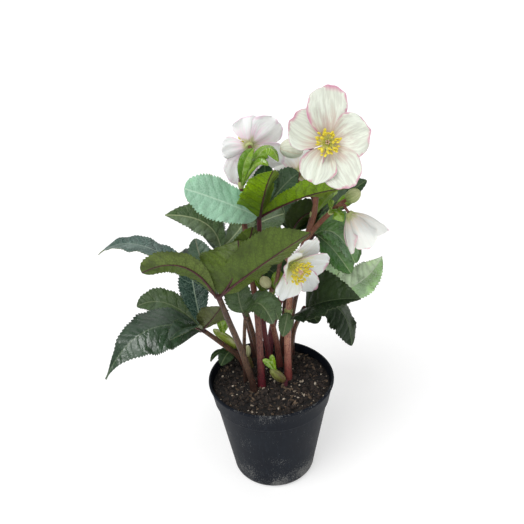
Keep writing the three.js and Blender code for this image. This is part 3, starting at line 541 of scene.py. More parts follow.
class Effects:
    """The shader groups that several finishes use, each made once."""

    def __init__(self) -> None:
        """Makes the groups."""
        self.veins = self.make_veins()
        self.sepal_marks = self.make_sepal_marks()
        self.speckle = self.make_speckle()
        self.dust = self.make_dust()

    @staticmethod
    def make_veins() -> bpy.types.NodeTree:
        """The veins of a leaflet, from centimetres along and across it.

        Returns:
            The group.
        """
        marks = ("Rib", "Side Veins", "Net", "Height")
        tree, given, out = new_group("leaf_veins", {"Place": None, "Object": None}, marks)
        along, across, _ = tree.split(given["Place"])
        wobble = tree.less(tree.noise(given["Object"], 160, 2), 0.5)
        off = tree.math("ABSOLUTE", across)
        rib = tree.ramp(off, 0.09, 0.03)
        side = tree.times(tree.math("SIGN", across), 0.22)
        forward = tree.plus(0.55, tree.times(off, 0.16))
        run = tree.math("DIVIDE", tree.less(along, tree.times(off, forward)), 0.95)
        run = tree.plus(tree.plus(run, side), tree.times(wobble, 0.9))
        apart = tree.math("ABSOLUTE", tree.less(tree.math("FRACT", run), 0.5))
        veins = tree.ramp(apart, tree.plus(0.03, tree.math("DIVIDE", 0.01, tree.plus(off, 0.2))), 0.01)
        finer = tree.math("FRACT", tree.plus(tree.times(run, 3), tree.times(wobble, 2)))
        finer = tree.ramp(tree.math("ABSOLUTE", tree.less(finer, 0.5)), 0.09, 0.0)
        veins = tree.math("MAXIMUM", veins, tree.times(finer, 0.3))
        bent = tree.add("ShaderNodeTexNoise", {"Vector": given["Object"], "Scale": 300, "Detail": 2}).outputs["Color"]
        bent = tree.add("ShaderNodeVectorMath", {0: bent, 1: (0.003, 0.003, 0.003)}, operation="MULTIPLY").outputs[0]
        bent = tree.add("ShaderNodeVectorMath", {0: given["Object"], 1: bent}, operation="ADD").outputs[0]
        cells = tree.add("ShaderNodeTexVoronoi", {"Vector": bent, "Scale": 380}, feature="DISTANCE_TO_EDGE").outputs[0]
        net = tree.ramp(cells, 0.12, 0.0)
        pillow = tree.ramp(apart, 0.0, 0.35)
        fine = tree.ramp(cells, 0.0, 0.35)
        height = tree.plus(pillow, tree.times(fine, 0.2))
        for name, value in zip(marks, (rib, veins, net, height)):
            tree.feed(out.inputs[name], value)
        return tree.tree

    @staticmethod
    def make_sepal_marks() -> bpy.types.NodeTree:
        """The margin, veins, streaks, base colour and heart of a sepal, from shares along and across it; on an open
        bloom's inside the base colour is partly painted shade.

        Returns:
            The group.
        """
        inputs = {"Place": None, "Object": None, "Margin": 0.16, "Flush": 0.45}
        marks = ("Margin", "Veins", "Streaks", "Base", "Heart", "Height")
        tree, given, out = new_group("sepal_marks", inputs, marks)
        along, across, _ = tree.split(given["Place"])
        apart = tree.add("ShaderNodeMapping", {"Vector": given["Object"], "Scale": (60, 60, 60)}).outputs[0]
        drawn = tree.add("ShaderNodeMapping", {"Vector": given["Place"], "Scale": (1.6, 15, 1)}).outputs[0]
        lines = tree.add("ShaderNodeVectorMath", {0: apart, 1: drawn}, operation="ADD").outputs[0]
        streak = tree.noise(lines, 1.0, 3, 0.6)
        streaks = tree.ramp(streak, 0.36, 0.62)
        patch = tree.noise(given["Object"], 75, 3, 0.6)
        aside = tree.math("ABSOLUTE", tree.less(tree.times(across, 2), 1))
        rim = tree.math("MAXIMUM", aside, tree.math("POWER", along, 2.0))
        width = tree.times(given["Margin"], tree.times(tree.ramp(patch, 0.42, 0.62), 3))
        start = tree.less(0.985, width)
        margin = tree.times(tree.ramp(rim, start, 1.01), tree.plus(0.45, patch))
        wobble = tree.times(tree.noise(given["Object"], 90, 2), 0.9)
        fan = tree.plus(tree.times(across, 17), wobble)
        gap = tree.math("ABSOLUTE", tree.less(tree.math("FRACT", fan), 0.5))
        veins = tree.times(tree.ramp(gap, 0.14, 0.0), tree.ramp(along, 1.0, 0.3))
        ragged = tree.times(tree.less(streak, 0.5), 0.9)
        base = tree.ramp(tree.plus(along, ragged), given["Flush"], 0.0)
        heart = tree.ramp(tree.plus(along, tree.times(ragged, 0.3)), 0.2, 0.04)
        height = tree.plus(tree.times(gap, 0.5), tree.times(streak, 1.6))
        for name, value in zip(marks, (margin, veins, streaks, base, heart, height)):
            tree.feed(out.inputs[name], value)
        return tree.tree

    @staticmethod
    def make_speckle() -> bpy.types.NodeTree:
        """Small dark flecks, drawn out along a stem.

        Returns:
            The group.
        """
        tree, given, out = new_group("speckle", {"Object": None, "Amount": 0.5}, ("Mask",))
        stretched = tree.add("ShaderNodeMapping", {"Vector": given["Object"], "Scale": (1, 1, 0.35)}).outputs[0]
        flecks = tree.noise(stretched, 1100, 2)
        patch = tree.noise(stretched, 132, 2)
        value = tree.plus(flecks, tree.times(tree.less(patch, 0.5), 0.4))
        edge = tree.less(0.75, tree.times(given["Amount"], 0.35))
        tree.feed(out.inputs["Mask"], tree.ramp(value, edge, tree.plus(edge, 0.08)))
        return tree.tree

    @staticmethod
    def make_dust() -> bpy.types.NodeTree:
        """Dried splashes and dust, thicker towards a height; at the pot's lip it is partly a painted highlight.

        Returns:
            The group.
        """
        inputs = {"Object": None, "Low": 0.0, "High": 0.06, "Amount": 0.5}
        tree, given, out = new_group("dust", inputs, ("Mask",))
        _, _, height = tree.split(given["Object"])
        near = tree.ramp(height, given["High"], given["Low"])
        cloud = tree.noise(given["Object"], 38, 5, 0.65)
        grain = tree.noise(given["Object"], 900, 3, 0.7)
        value = tree.plus(tree.times(cloud, 0.6), tree.times(grain, 0.75))
        value = tree.plus(value, tree.times(near, 0.16))
        edge = tree.less(0.97, tree.times(given["Amount"], 0.2))
        tree.feed(out.inputs["Mask"], tree.ramp(value, edge, tree.plus(edge, 0.1)))
        return tree.tree


def new_material(name: str, roughness: float, **values: float) -> tuple[Material, Tree]:
    """A material with its Principled shader.

    Args:
        name: The material's name.
        roughness: The shader's roughness.
        values: More of the shader's values, with _ for a space in the socket's name.

    Returns:
        The material and its tree.
    """
    material = bpy.data.materials.new(name)
    material.use_nodes = True
    tree = Tree(material.node_tree)
    for key, value in {"Roughness": roughness, **values}.items():
        tree.shader.inputs[key.replace("_", " ")].default_value = value
    return material, tree


# ---- finishes


WAX = (0.42, 0.52, 0.47)  # the pale bloom on a leaf


@dataclass(frozen=True)
class SideFinish:
    """One side of a leaf: its colour, a second colour over its other half that paints light or shade on that half, its
    veins and how smooth it is.
    """

    colour: Colour
    # the colour of the half past the midrib, painted lighter or darker as if that half met the light at another angle
    painted_light_half: Colour
    vein: Colour
    rib: Colour
    roughness: float = 0.5
    relief: float = 0.5  # of its veins: above 0 they are sunk, below 0 raised
    bloom: float = 0.0  # share of pale wax in patches
    net: float = 0.35  # strength of the finest veins
    shine: float = 0.22
    contrast: float = 1.0  # of its light and dark patches, and of its painted shade along the side veins
    crumple: float = 1.0
    side_veins: float = 0.6  # their strength

    def make(self, name: str, effects: Effects) -> Material:
        """Makes the material.

        Args:
            name: Its name.
            effects: The shared groups.

        Returns:
            The material.
        """
        material, tree = new_material(name, self.roughness, Specular_IOR_Level=self.shine)
        spot, blade = tree.place(), tree.blade()
        marks = tree.use(effects.veins, {"Place": blade, "Object": spot})
        _, across, _ = tree.split(blade)
        # painted light and shade: the half past the midrib takes a lighter or darker colour
        half = tree.ramp(across, -0.05, 0.05)
        colour = tree.mix(half, self.colour, self.painted_light_half)
        patch = tree.noise(spot, 50, 4)
        dark = tree.times(tree.ramp(patch, 0.46, 0.72), 0.75 * self.contrast, clamp=True)
        colour = tree.mix(dark, colour, dim(self.colour, 0.42))
        bright = tree.times(tree.ramp(patch, 0.46, 0.26), 0.5 * self.contrast, clamp=True)
        red, green, blue = self.colour
        colour = tree.mix(bright, colour, (red * 1.5, green * 1.45, blue * 1.05))
        # painted shade: a darker copy of the colour where the vein height is low, in the grooves of sunk side veins;
        # where the veins stand out it is a darker band along them
        between = tree.times(tree.ramp(marks["Height"], 0.95, 0.25), 0.14 * self.contrast)
        colour = tree.mix(between, colour, dim(self.colour, 0.45))
        mottle = tree.noise(spot, 420, 3, 0.6)
        colour = tree.mix(tree.times(tree.ramp(mottle, 0.5, 0.8), 0.25), colour, self.vein)
        colour = tree.mix(tree.times(marks["Net"], self.net), colour, self.vein)
        colour = tree.mix(tree.times(marks["Side Veins"], self.side_veins), colour, self.vein)
        colour = tree.mix(marks["Rib"], colour, self.rib)
        if self.bloom:
            wax = tree.times(tree.ramp(tree.noise(spot, 34, 5, 0.65), 0.48, 0.72), self.bloom)
            colour = tree.mix(wax, colour, WAX)
        tree.set("Base Color", colour)
        worn = tree.times(tree.ramp(tree.noise(spot, 62, 3, 0.6), 0.4, 0.62), 0.16)
        worn = tree.plus(self.roughness - 0.16, worn)
        tree.set("Roughness", tree.plus(worn, tree.times(mottle, 0.2)))
        height = tree.plus(marks["Height"], tree.times(tree.noise(spot, 55, 4, 0.5), 5 * self.crumple))
        tree.set("Normal", tree.bump(height, abs(self.relief), math.copysign(0.8, self.relief)))
        return material


@dataclass(frozen=True)
class StemFinish:
    """A stem: its colour at the soil, halfway and at its top, and its flecks."""

    foot: Colour
    middle: Colour
    top: Colour
    fleck: Colour
    low: float = 108
    high: float = 300
    amount: float = 0.75
    roughness: float = 0.42

    def make(self, name: str, effects: Effects) -> Material:
        """Makes the material.

        Args:
            name: Its name.
            effects: The shared groups.

        Returns:
            The material.
        """
        material, tree = new_material(name, self.roughness, Subsurface_Weight=0.05, Specular_IOR_Level=0.25)
        spot = tree.place()
        _, _, height = tree.split(spot)
        height = tree.plus(height, tree.times(tree.less(tree.noise(spot, 90, 3), 0.5), 0.03))
        centre = (self.low + 0.3 * (self.high - self.low)) * MM
        colour = tree.mix(tree.ramp(height, self.low * MM, centre), self.foot, self.middle)
        colour = tree.mix(tree.ramp(height, centre, self.high * MM), colour, self.top)
        patch = tree.ramp(tree.noise(spot, 130, 4), 0.35, 0.7)
        colour = tree.mix(tree.times(patch, 0.35), colour, self.fleck)
        flecks = tree.use(effects.speckle, {"Object": spot, "Amount": self.amount})["Mask"]
        colour = tree.mix(tree.times(flecks, 0.75), colour, self.fleck)
        tree.set("Base Color", colour)
        ridges = tree.add("ShaderNodeMapping", {"Vector": spot, "Scale": (1, 1, 0.06)}).outputs[0]
        tree.set("Normal", tree.bump(tree.noise(ridges, 1400, 2), 0.3, 0.25))
        return material


@dataclass(frozen=True)
class SepalFinish:
    """One side of a sepal: its colours, from its body to its heart, and how strong its marks are."""

    colour: Colour
    margin: Colour
    vein: Colour
    base: Colour
    heart: Colour
    margin_width: float = 0.08
    flush: float = 0.55
    veining: float = 0.3
    strength: float = 0.85  # of the margin
    shade: float = 0.8  # how dark the painted shade is in the folds between its pale, raised streaks
    roughness: float = 0.45

    def make(self, name: str, effects: Effects) -> Material:
        """Makes the material.

        Args:
            name: Its name.
            effects: The shared groups.

        Returns:
            The material.
        """
        values = {"Subsurface_Weight": 0.45, "Subsurface_Scale": 0.003, "Subsurface_Radius": (1, 0.9, 0.85)}
        material, tree = new_material(name, self.roughness, **values)
        spot, blade = tree.place(), tree.blade()
        inputs = {"Place": blade, "Object": spot, "Margin": self.margin_width, "Flush": self.flush}
        marks = tree.use(effects.sepal_marks, inputs)
        # painted shade: a darker copy of the colour in the low folds between the pale streaks, which the bump raises
        between = tuple(self.shade * c + 0.1 * self.shade * b for c, b in zip(self.colour, self.base))
        colour = tree.mix(marks["Streaks"], between, self.colour)
        colour = tree.mix(tree.times(marks["Veins"], self.veining), colour, self.vein)
        # the base colour: the sepal's own flush, and on the open bloom's inside partly painted shade
        colour = tree.mix(tree.times(marks["Base"], 0.9), colour, self.base)
        colour = tree.mix(tree.times(marks["Heart"], 0.8), colour, self.heart)
        share = tree.times(marks["Margin"], self.strength, clamp=True)
        tree.set("Base Color", tree.mix(share, colour, self.margin))
        tree.set("Normal", tree.bump(marks["Height"], 0.5, 0.5))
        return material


@dataclass(frozen=True)
class GrainFinish:
    """A plain grainy surface of two colours, such as an anther, a crumb or a scrap of bark."""

    colour: Colour
    other: Colour
    scale: float
    roughness: float = 0.8
    relief: float = 0.3

    def make(self, name: str) -> Material:
        """Makes the material.

        Args:
            name: Its name.

        Returns:
            The material.
        """
        material, tree = new_material(name, self.roughness)
        grain = tree.noise(tree.place(), self.scale, 4, 0.65)
        tree.set("Base Color", tree.mix(tree.ramp(grain, 0.35, 0.65), self.colour, self.other))
        tree.set("Normal", tree.bump(grain, 0.6, self.relief))
        return material


@dataclass(frozen=True)
class PotFinish:
    """Dark moulded plastic with a fine grain, scuffs and dried splashes, and a pale band at the lip that is partly dust
    and partly a painted highlight.
    """

    colour: Colour = (0.0065, 0.0085, 0.0135)
    worn: Colour = (0.01, 0.013, 0.0185)
    dust: Colour = (0.22, 0.22, 0.21)

    def make(self, name: str, effects: Effects) -> Material:
        """Makes the material.

        Args:
            name: Its name.
            effects: The shared groups.

        Returns:
            The material.
        """
        material, tree = new_material(name, 0.5, Specular_IOR_Level=0.07)
        spot = tree.place()
        cloud = tree.noise(spot, 26, 4)
        colour = tree.mix(tree.ramp(cloud, 0.35, 0.7), self.colour, self.worn)
        flow = tree.add("ShaderNodeMapping", {"Vector": spot, "Scale": (1, 1, 0.12)}).outputs[0]
        streaks = tree.ramp(tree.noise(flow, 420, 4, 0.6), 0.52, 0.75)
        colour = tree.mix(tree.times(streaks, 0.6), colour, dim(self.worn, 1.7))
        specks = tree.ramp(tree.noise(spot, 620, 1), 0.76, 0.8)
        low = tree.use(effects.dust, {"Object": spot, "Low": 0.0, "High": 0.045, "Amount": 0.9})["Mask"]
        # pale marks thicker towards the lip: partly dust, partly a painted highlight along the lip
        rim = tree.use(effects.dust, {"Object": spot, "Low": 0.118, "High": 0.108, "Amount": 0.62})["Mask"]
        dust_and_lip_highlight = tree.times(tree.math("MAXIMUM", tree.math("MAXIMUM", low, rim), specks), 0.55)
        tree.set("Base Color", tree.mix(dust_and_lip_highlight, colour, self.dust))
        rough = tree.plus(0.42, tree.times(cloud, 0.22))
        tree.set("Roughness", tree.plus(rough, tree.times(dust_and_lip_highlight, 0.4)))
        tree.set("Normal", tree.bump(tree.noise(spot, 2600, 2), 0.12, 0.12))
        return material


@dataclass(frozen=True)
class PeatFinish:
    """Moist peat, dark and brown in patches, with pale specks."""

    dark: Colour = (0.0035, 0.003, 0.003)
    brown: Colour = (0.04, 0.027, 0.02)
    speck: Colour = (0.24, 0.17, 0.11)

    def make(self, name: str) -> Material:
        """Makes the material.

        Args:
            name: Its name.

        Returns:
            The material.
        """
        material, tree = new_material(name, 0.85)
        spot = tree.place()
        colour = tree.mix(tree.ramp(tree.noise(spot, 230, 5, 0.7), 0.47, 0.7), self.dark, self.brown)
        colour = tree.mix(tree.ramp(tree.noise(spot, 800, 3, 0.7), 0.65, 0.72), colour, self.speck)
        tree.set("Base Color", colour)
        tree.set("Normal", tree.bump(tree.noise(spot, 900, 5, 0.75), 0.9, 0.8))
        return material


PURPLE = (0.05, 0.018, 0.02)
BLUE_GREEN = SideFinish(
    (0.06, 0.11, 0.07), (0.08, 0.135, 0.088), (0.15, 0.2, 0.14), (0.2, 0.22, 0.15),
    roughness=0.34, relief=0.5, bloom=0.45,
)
GREY_GREEN = SideFinish((0.08, 0.105, 0.04), (0.09, 0.115, 0.05), (0.13, 0.15, 0.08), PURPLE, 0.55, relief=-0.4)


class LeafTone(Enum):
    """How a leaf looks from above and from below; on each side, the second colour paints light or shade on one half of
    each leaflet.
    """

    FRONT = (
        BLUE_GREEN,
        SideFinish(
            (0.082, 0.118, 0.026), (0.105, 0.135, 0.038), (0.05, 0.058, 0.02), PURPLE,
            roughness=0.45, relief=-0.3, shine=0.25,
        ),
    )
    VIVID = (
        BLUE_GREEN,
        SideFinish(
            (0.076, 0.122, 0.016), (0.108, 0.155, 0.03), (0.038, 0.048, 0.01), PURPLE,
            roughness=0.45, relief=-0.35, net=0.55,
        ),
    )
    FROST = (
        SideFinish(
            (0.03, 0.075, 0.055), (0.055, 0.11, 0.085), (0.18, 0.28, 0.24), (0.2, 0.27, 0.22),
            roughness=0.3, relief=0.6, bloom=0.3, net=0.45, shine=0.6,
        ),
        SideFinish(
            (0.08, 0.14, 0.018), (0.11, 0.16, 0.03), (0.048, 0.05, 0.018), PURPLE,
            roughness=0.45, relief=-0.3, shine=0.25,
        ),
    )
    LOW = (
        SideFinish(
            (0.01, 0.038, 0.013), (0.017, 0.05, 0.018), (0.035, 0.075, 0.032), (0.07, 0.11, 0.055),
            roughness=0.33, relief=0.4, bloom=0.04, net=0.15, shine=0.85, contrast=1.3, crumple=1.5, side_veins=0.3,
        ),
        GREY_GREEN,
    )
    TEAL = (
        SideFinish(
            (0.011, 0.04, 0.028), (0.014, 0.047, 0.033), (0.18, 0.27, 0.21), (0.26, 0.34, 0.25),
            roughness=0.36, relief=0.6, bloom=0.05, net=0.45,
        ),
        GREY_GREEN,
    )
    OLIVE = (
        SideFinish(
            (0.09, 0.11, 0.05), (0.1, 0.12, 0.06), (0.15, 0.17, 0.09), (0.2, 0.2, 0.12),
            roughness=0.42, bloom=0.1,
        ),
        SideFinish(
            (0.095, 0.115, 0.038), (0.105, 0.125, 0.046), (0.065, 0.055, 0.025), PURPLE,
            relief=-0.4, shine=0.25,
        ),
    )
    TOP = (
        SideFinish(
            (0.3, 0.56, 0.37), (0.32, 0.58, 0.4), (0.46, 0.7, 0.54), (0.5, 0.72, 0.54),
            roughness=0.42, relief=0.38, bloom=0.05, net=0.6, shine=0.4, contrast=0.45, crumple=0.8, side_veins=0.5,
        ),
        SideFinish(
            (0.19, 0.345, 0.003), (0.13, 0.2, 0.006), (0.045, 0.062, 0.008), PURPLE,
            roughness=0.4, relief=-0.35, net=0.5, shine=0.3,
        ),
    )
    BACK_LEFT = (
        SideFinish(
            (0.075, 0.135, 0.05), (0.12, 0.18, 0.08), (0.2, 0.26, 0.14), (0.34, 0.4, 0.22),
            roughness=0.4, bloom=0.2,
        ),
        SideFinish((0.08, 0.12, 0.04), (0.09, 0.13, 0.05), (0.12, 0.15, 0.08), (0.3, 0.3, 0.18), relief=-0.4),
    )
    LOW_RIGHT = (
        SideFinish(
            (0.008, 0.02, 0.006), (0.022, 0.042, 0.012), (0.035, 0.06, 0.026), (0.06, 0.09, 0.04),
            roughness=0.4, bloom=0.02, shine=0.15,
        ),
        SideFinish((0.05, 0.07, 0.03), (0.06, 0.08, 0.035), (0.09, 0.11, 0.055), PURPLE, roughness=0.55, relief=-0.4),
    )
    RIGHT = (
        SideFinish(
            (0.042, 0.135, 0.022), (0.1, 0.235, 0.05), (0.14, 0.28, 0.09), (0.26, 0.37, 0.17),
            roughness=0.3, relief=0.6, bloom=0.2, shine=0.5,
        ),
        SideFinish((0.07, 0.1, 0.025), (0.08, 0.12, 0.03), (0.05, 0.06, 0.02), PURPLE, relief=-0.4),
    )
    DEEP = (
        SideFinish(
            (0.028, 0.07, 0.024), (0.04, 0.085, 0.032), (0.09, 0.15, 0.07), (0.14, 0.19, 0.1),
            roughness=0.4, bloom=0.1,
        ),
        SideFinish((0.04, 0.066, 0.01), (0.048, 0.078, 0.014), (0.03, 0.035, 0.01), PURPLE, relief=-0.4),
    )
    BACK = (
        SideFinish(
            (0.018, 0.046, 0.012), (0.026, 0.056, 0.016), (0.05, 0.09, 0.035), (0.09, 0.13, 0.05),
            roughness=0.4, bloom=0.05,
        ),
        SideFinish((0.032, 0.06, 0.007), (0.04, 0.072, 0.01), (0.025, 0.035, 0.008), PURPLE, relief=-0.4),
    )
    SMALL = (
        SideFinish(
            (0.05, 0.09, 0.03), (0.066, 0.115, 0.042), (0.11, 0.16, 0.07), (0.14, 0.18, 0.09),
            roughness=0.42, relief=0.6, bloom=0.12,
        ),
        SideFinish((0.075, 0.105, 0.03), (0.085, 0.115, 0.04), (0.05, 0.05, 0.02), PURPLE, relief=-0.4),
    )
    PALE = (
        SideFinish(
            (0.42, 0.7, 0.29), (0.62, 0.8, 0.52), (0.7, 0.82, 0.62), (0.66, 0.78, 0.56),
            roughness=0.34, relief=0.7, bloom=0.3, shine=0.5,
        ),
        SideFinish((0.09, 0.14, 0.04), (0.11, 0.16, 0.05), (0.15, 0.19, 0.09), PURPLE, relief=-0.4),
    )
    BRACT = (
        SideFinish(
            (0.18, 0.34, 0.008), (0.13, 0.28, 0.006), (0.26, 0.42, 0.04), (0.28, 0.4, 0.07),
            roughness=0.22, relief=0.4, shine=0.9,
        ),
        SideFinish(
            (0.16, 0.28, 0.014), (0.13, 0.24, 0.014), (0.24, 0.34, 0.07), (0.24, 0.32, 0.08),
            roughness=0.3, relief=-0.3, shine=0.5,
        ),
    )

    def make(self, effects: Effects) -> tuple[Material, Material]:
        """Makes the materials of its upper side and its underside.

        Args:
            effects: The shared groups.

        Returns:
            The two materials.
        """
        over, under = self.value
        name = self.name.lower()
        return over.make(f"{name}_leaf_over", effects), under.make(f"{name}_leaf_under", effects)


class StemTone(Enum):
    """How a stalk or stem is coloured."""

    LEAF_STALK = StemFinish((0.075, 0.036, 0.028), (0.12, 0.074, 0.046), (0.095, 0.054, 0.036), (0.026, 0.018, 0.014))
    BURGUNDY = StemFinish((0.095, 0.018, 0.024), (0.12, 0.034, 0.034), (0.09, 0.02, 0.034), (0.05, 0.012, 0.018))
    PINK = StemFinish((0.25, 0.05, 0.05), (0.5, 0.26, 0.18), (0.21, 0.11, 0.06), (0.15, 0.05, 0.04))
    DARK_RED = StemFinish((0.15, 0.016, 0.03), (0.2, 0.09, 0.064), (0.17, 0.085, 0.055), (0.06, 0.02, 0.022))
    ROSE = StemFinish((0.2, 0.06, 0.05), (0.3, 0.15, 0.105), (0.18, 0.1, 0.06), (0.11, 0.045, 0.035))
    RIB = StemFinish((0.06, 0.024, 0.022), (0.07, 0.03, 0.026), (0.08, 0.026, 0.028), (0.035, 0.015, 0.016))
    PALE = StemFinish((0.2, 0.22, 0.08), (0.28, 0.33, 0.11), (0.48, 0.52, 0.22), (0.26, 0.24, 0.08), amount=0.15)
    MAUVE = StemFinish((0.13, 0.034, 0.048), (0.16, 0.058, 0.062), (0.17, 0.09, 0.055), (0.075, 0.022, 0.032))
    OLIVE = StemFinish((0.16, 0.13, 0.06), (0.17, 0.18, 0.06), (0.2, 0.22, 0.08), (0.1, 0.075, 0.03), 108, 150)

    def make(self, effects: Effects) -> Material:
        """Makes the material."""
        return self.value.make(f"{self.name.lower()}_stem", effects)


LIME = (0.5, 0.56, 0.16)
ROSE_PINK = (0.56, 0.18, 0.31)
SILK = SepalFinish((0.84, 0.87, 0.83), (0.74, 0.46, 0.56), (0.86, 0.86, 0.84), (0.72, 0.6, 0.44), LIME)


class SepalTone(Enum):
    """How the sepals of a bloom or bud look from inside and from outside."""

    OPEN = (
        # inside, the dull mauve-beige base that reaches far along is partly a pink flush and partly painted shade in
        # the bloom's cup
        SepalFinish(
            (0.74, 0.79, 0.67), ROSE_PINK, (0.86, 0.88, 0.84), (0.56, 0.4, 0.36), (0.46, 0.4, 0.16),
            flush=0.62, veining=0.2, shade=0.74,
        ),
        SepalFinish((0.8, 0.82, 0.78), (0.7, 0.42, 0.52), (0.7, 0.66, 0.62), (0.7, 0.58, 0.5), LIME),
    )
    WHITE = (
        SepalFinish((0.88, 0.92, 0.9), ROSE_PINK, (0.9, 0.92, 0.92), (0.7, 0.7, 0.2), LIME, flush=0.5, shade=0.86),
        SepalFinish((0.84, 0.86, 0.84), (0.72, 0.44, 0.54), (0.8, 0.72, 0.74), (0.76, 0.58, 0.6), LIME, shade=0.86),
    )
    BLUSH = (
        SILK,
        SepalFinish(
            (0.97, 0.98, 0.98), (0.9, 0.62, 0.78), (0.92, 0.82, 0.88), (0.97, 0.66, 0.8), LIME,
            margin_width=0.1, flush=0.75, veining=0.12, shade=1.0,
        ),
    )
    NODDING = (
        SILK,
        SepalFinish(
            (0.9, 0.92, 0.86), (0.84, 0.5, 0.58), (0.92, 0.7, 0.68), (0.88, 0.72, 0.6), LIME,
            margin_width=0.14, flush=0.6, veining=0.5, shade=0.92,
        ),
    )
    CREAM_BUD = (
        SepalFinish(
            (0.84, 0.84, 0.66), (0.72, 0.56, 0.44), (0.74, 0.78, 0.52), (0.36, 0.43, 0.09), (0.2, 0.28, 0.04),
            flush=0.3,
        ),
        SepalFinish(
            (0.98, 0.97, 0.86), (0.62, 0.44, 0.34), (0.78, 0.84, 0.54), (0.3, 0.38, 0.07), (0.2, 0.28, 0.04),
            margin_width=0.1, flush=0.42, veining=0.4, shade=0.88,
        ),
    )
    YELLOW_BUD = (
        SepalFinish(
            (0.72, 0.7, 0.36), (0.66, 0.52, 0.3), (0.6, 0.64, 0.3), (0.3, 0.36, 0.07), (0.2, 0.28, 0.04),
            flush=0.5,
        ),
        SepalFinish(
            (0.92, 0.92, 0.6), (0.8, 0.66, 0.42), (0.72, 0.76, 0.42), (0.3, 0.36, 0.07), (0.2, 0.28, 0.04),
            flush=0.5,
        ),
    )
    GREEN_BUD = (
        SepalFinish(
            (0.7, 0.72, 0.36), (0.34, 0.44, 0.11), (0.34, 0.46, 0.09), (0.1, 0.19, 0.015), (0.05, 0.09, 0.01),
            flush=1.25,
        ),
    ) * 2
    SHOOT_LEFT = (
        SepalFinish(
            (0.27, 0.36, 0.03), (0.66, 0.68, 0.36), (0.34, 0.42, 0.07), (0.14, 0.16, 0.03), (0.12, 0.12, 0.03),
            margin_width=0.24,
        ),
    ) * 2
    SHOOT_MIDDLE = (
        SepalFinish(
            (0.55, 0.56, 0.27), (0.74, 0.7, 0.44), (0.62, 0.62, 0.34), (0.18, 0.18, 0.04), (0.1, 0.11, 0.02),
            margin_width=0.2,
        ),
    ) * 2
    SHOOT_RIGHT = (
        SepalFinish(
            (0.2, 0.23, 0.05), (0.34, 0.36, 0.12), (0.3, 0.32, 0.08), (0.14, 0.045, 0.04), (0.12, 0.02, 0.03),
            margin_width=0.14, flush=0.8,
        ),
    ) * 2

    def make(self, effects: Effects) -> tuple[Material, Material]:
        """Makes the materials of its inside and its outside.

        Args:
            effects: The shared groups.

        Returns:
            The two materials.
        """
        inside, outside = self.value
        name = self.name.lower()
        return inside.make(f"{name}_sepal_inside", effects), outside.make(f"{name}_sepal_outside", effects)


class Palette:
    """Every finish of the plant, each made the first time that it is asked for."""

    def __init__(self) -> None:
        """Makes the shared effects."""
        self.effects = Effects()
        self.made: dict[Enum, object] = {}
        self.anther = GrainFinish((0.86, 0.76, 0.07), (0.66, 0.52, 0.03), 1100, 0.7).make("anther_pollen")
        self.filament = GrainFinish((0.84, 0.8, 0.32), (0.8, 0.76, 0.2), 500, 0.5, 0.1).make("filament")
        self.nectary = GrainFinish((0.52, 0.6, 0.1), (0.66, 0.66, 0.16), 700, 0.4, 0.1).make("nectary")
        self.style = GrainFinish((0.88, 0.46, 0.52), (0.9, 0.6, 0.56), 600, 0.45, 0.1).make("style")

    def of(self, tone: Enum) -> object:
        """The material or materials of a tone.

        Args:
            tone: The tone.

        Returns:
            What the tone makes.
        """
        if tone not in self.made:
            self.made[tone] = tone.make(self.effects)
        return self.made[tone]


# ---- leaves


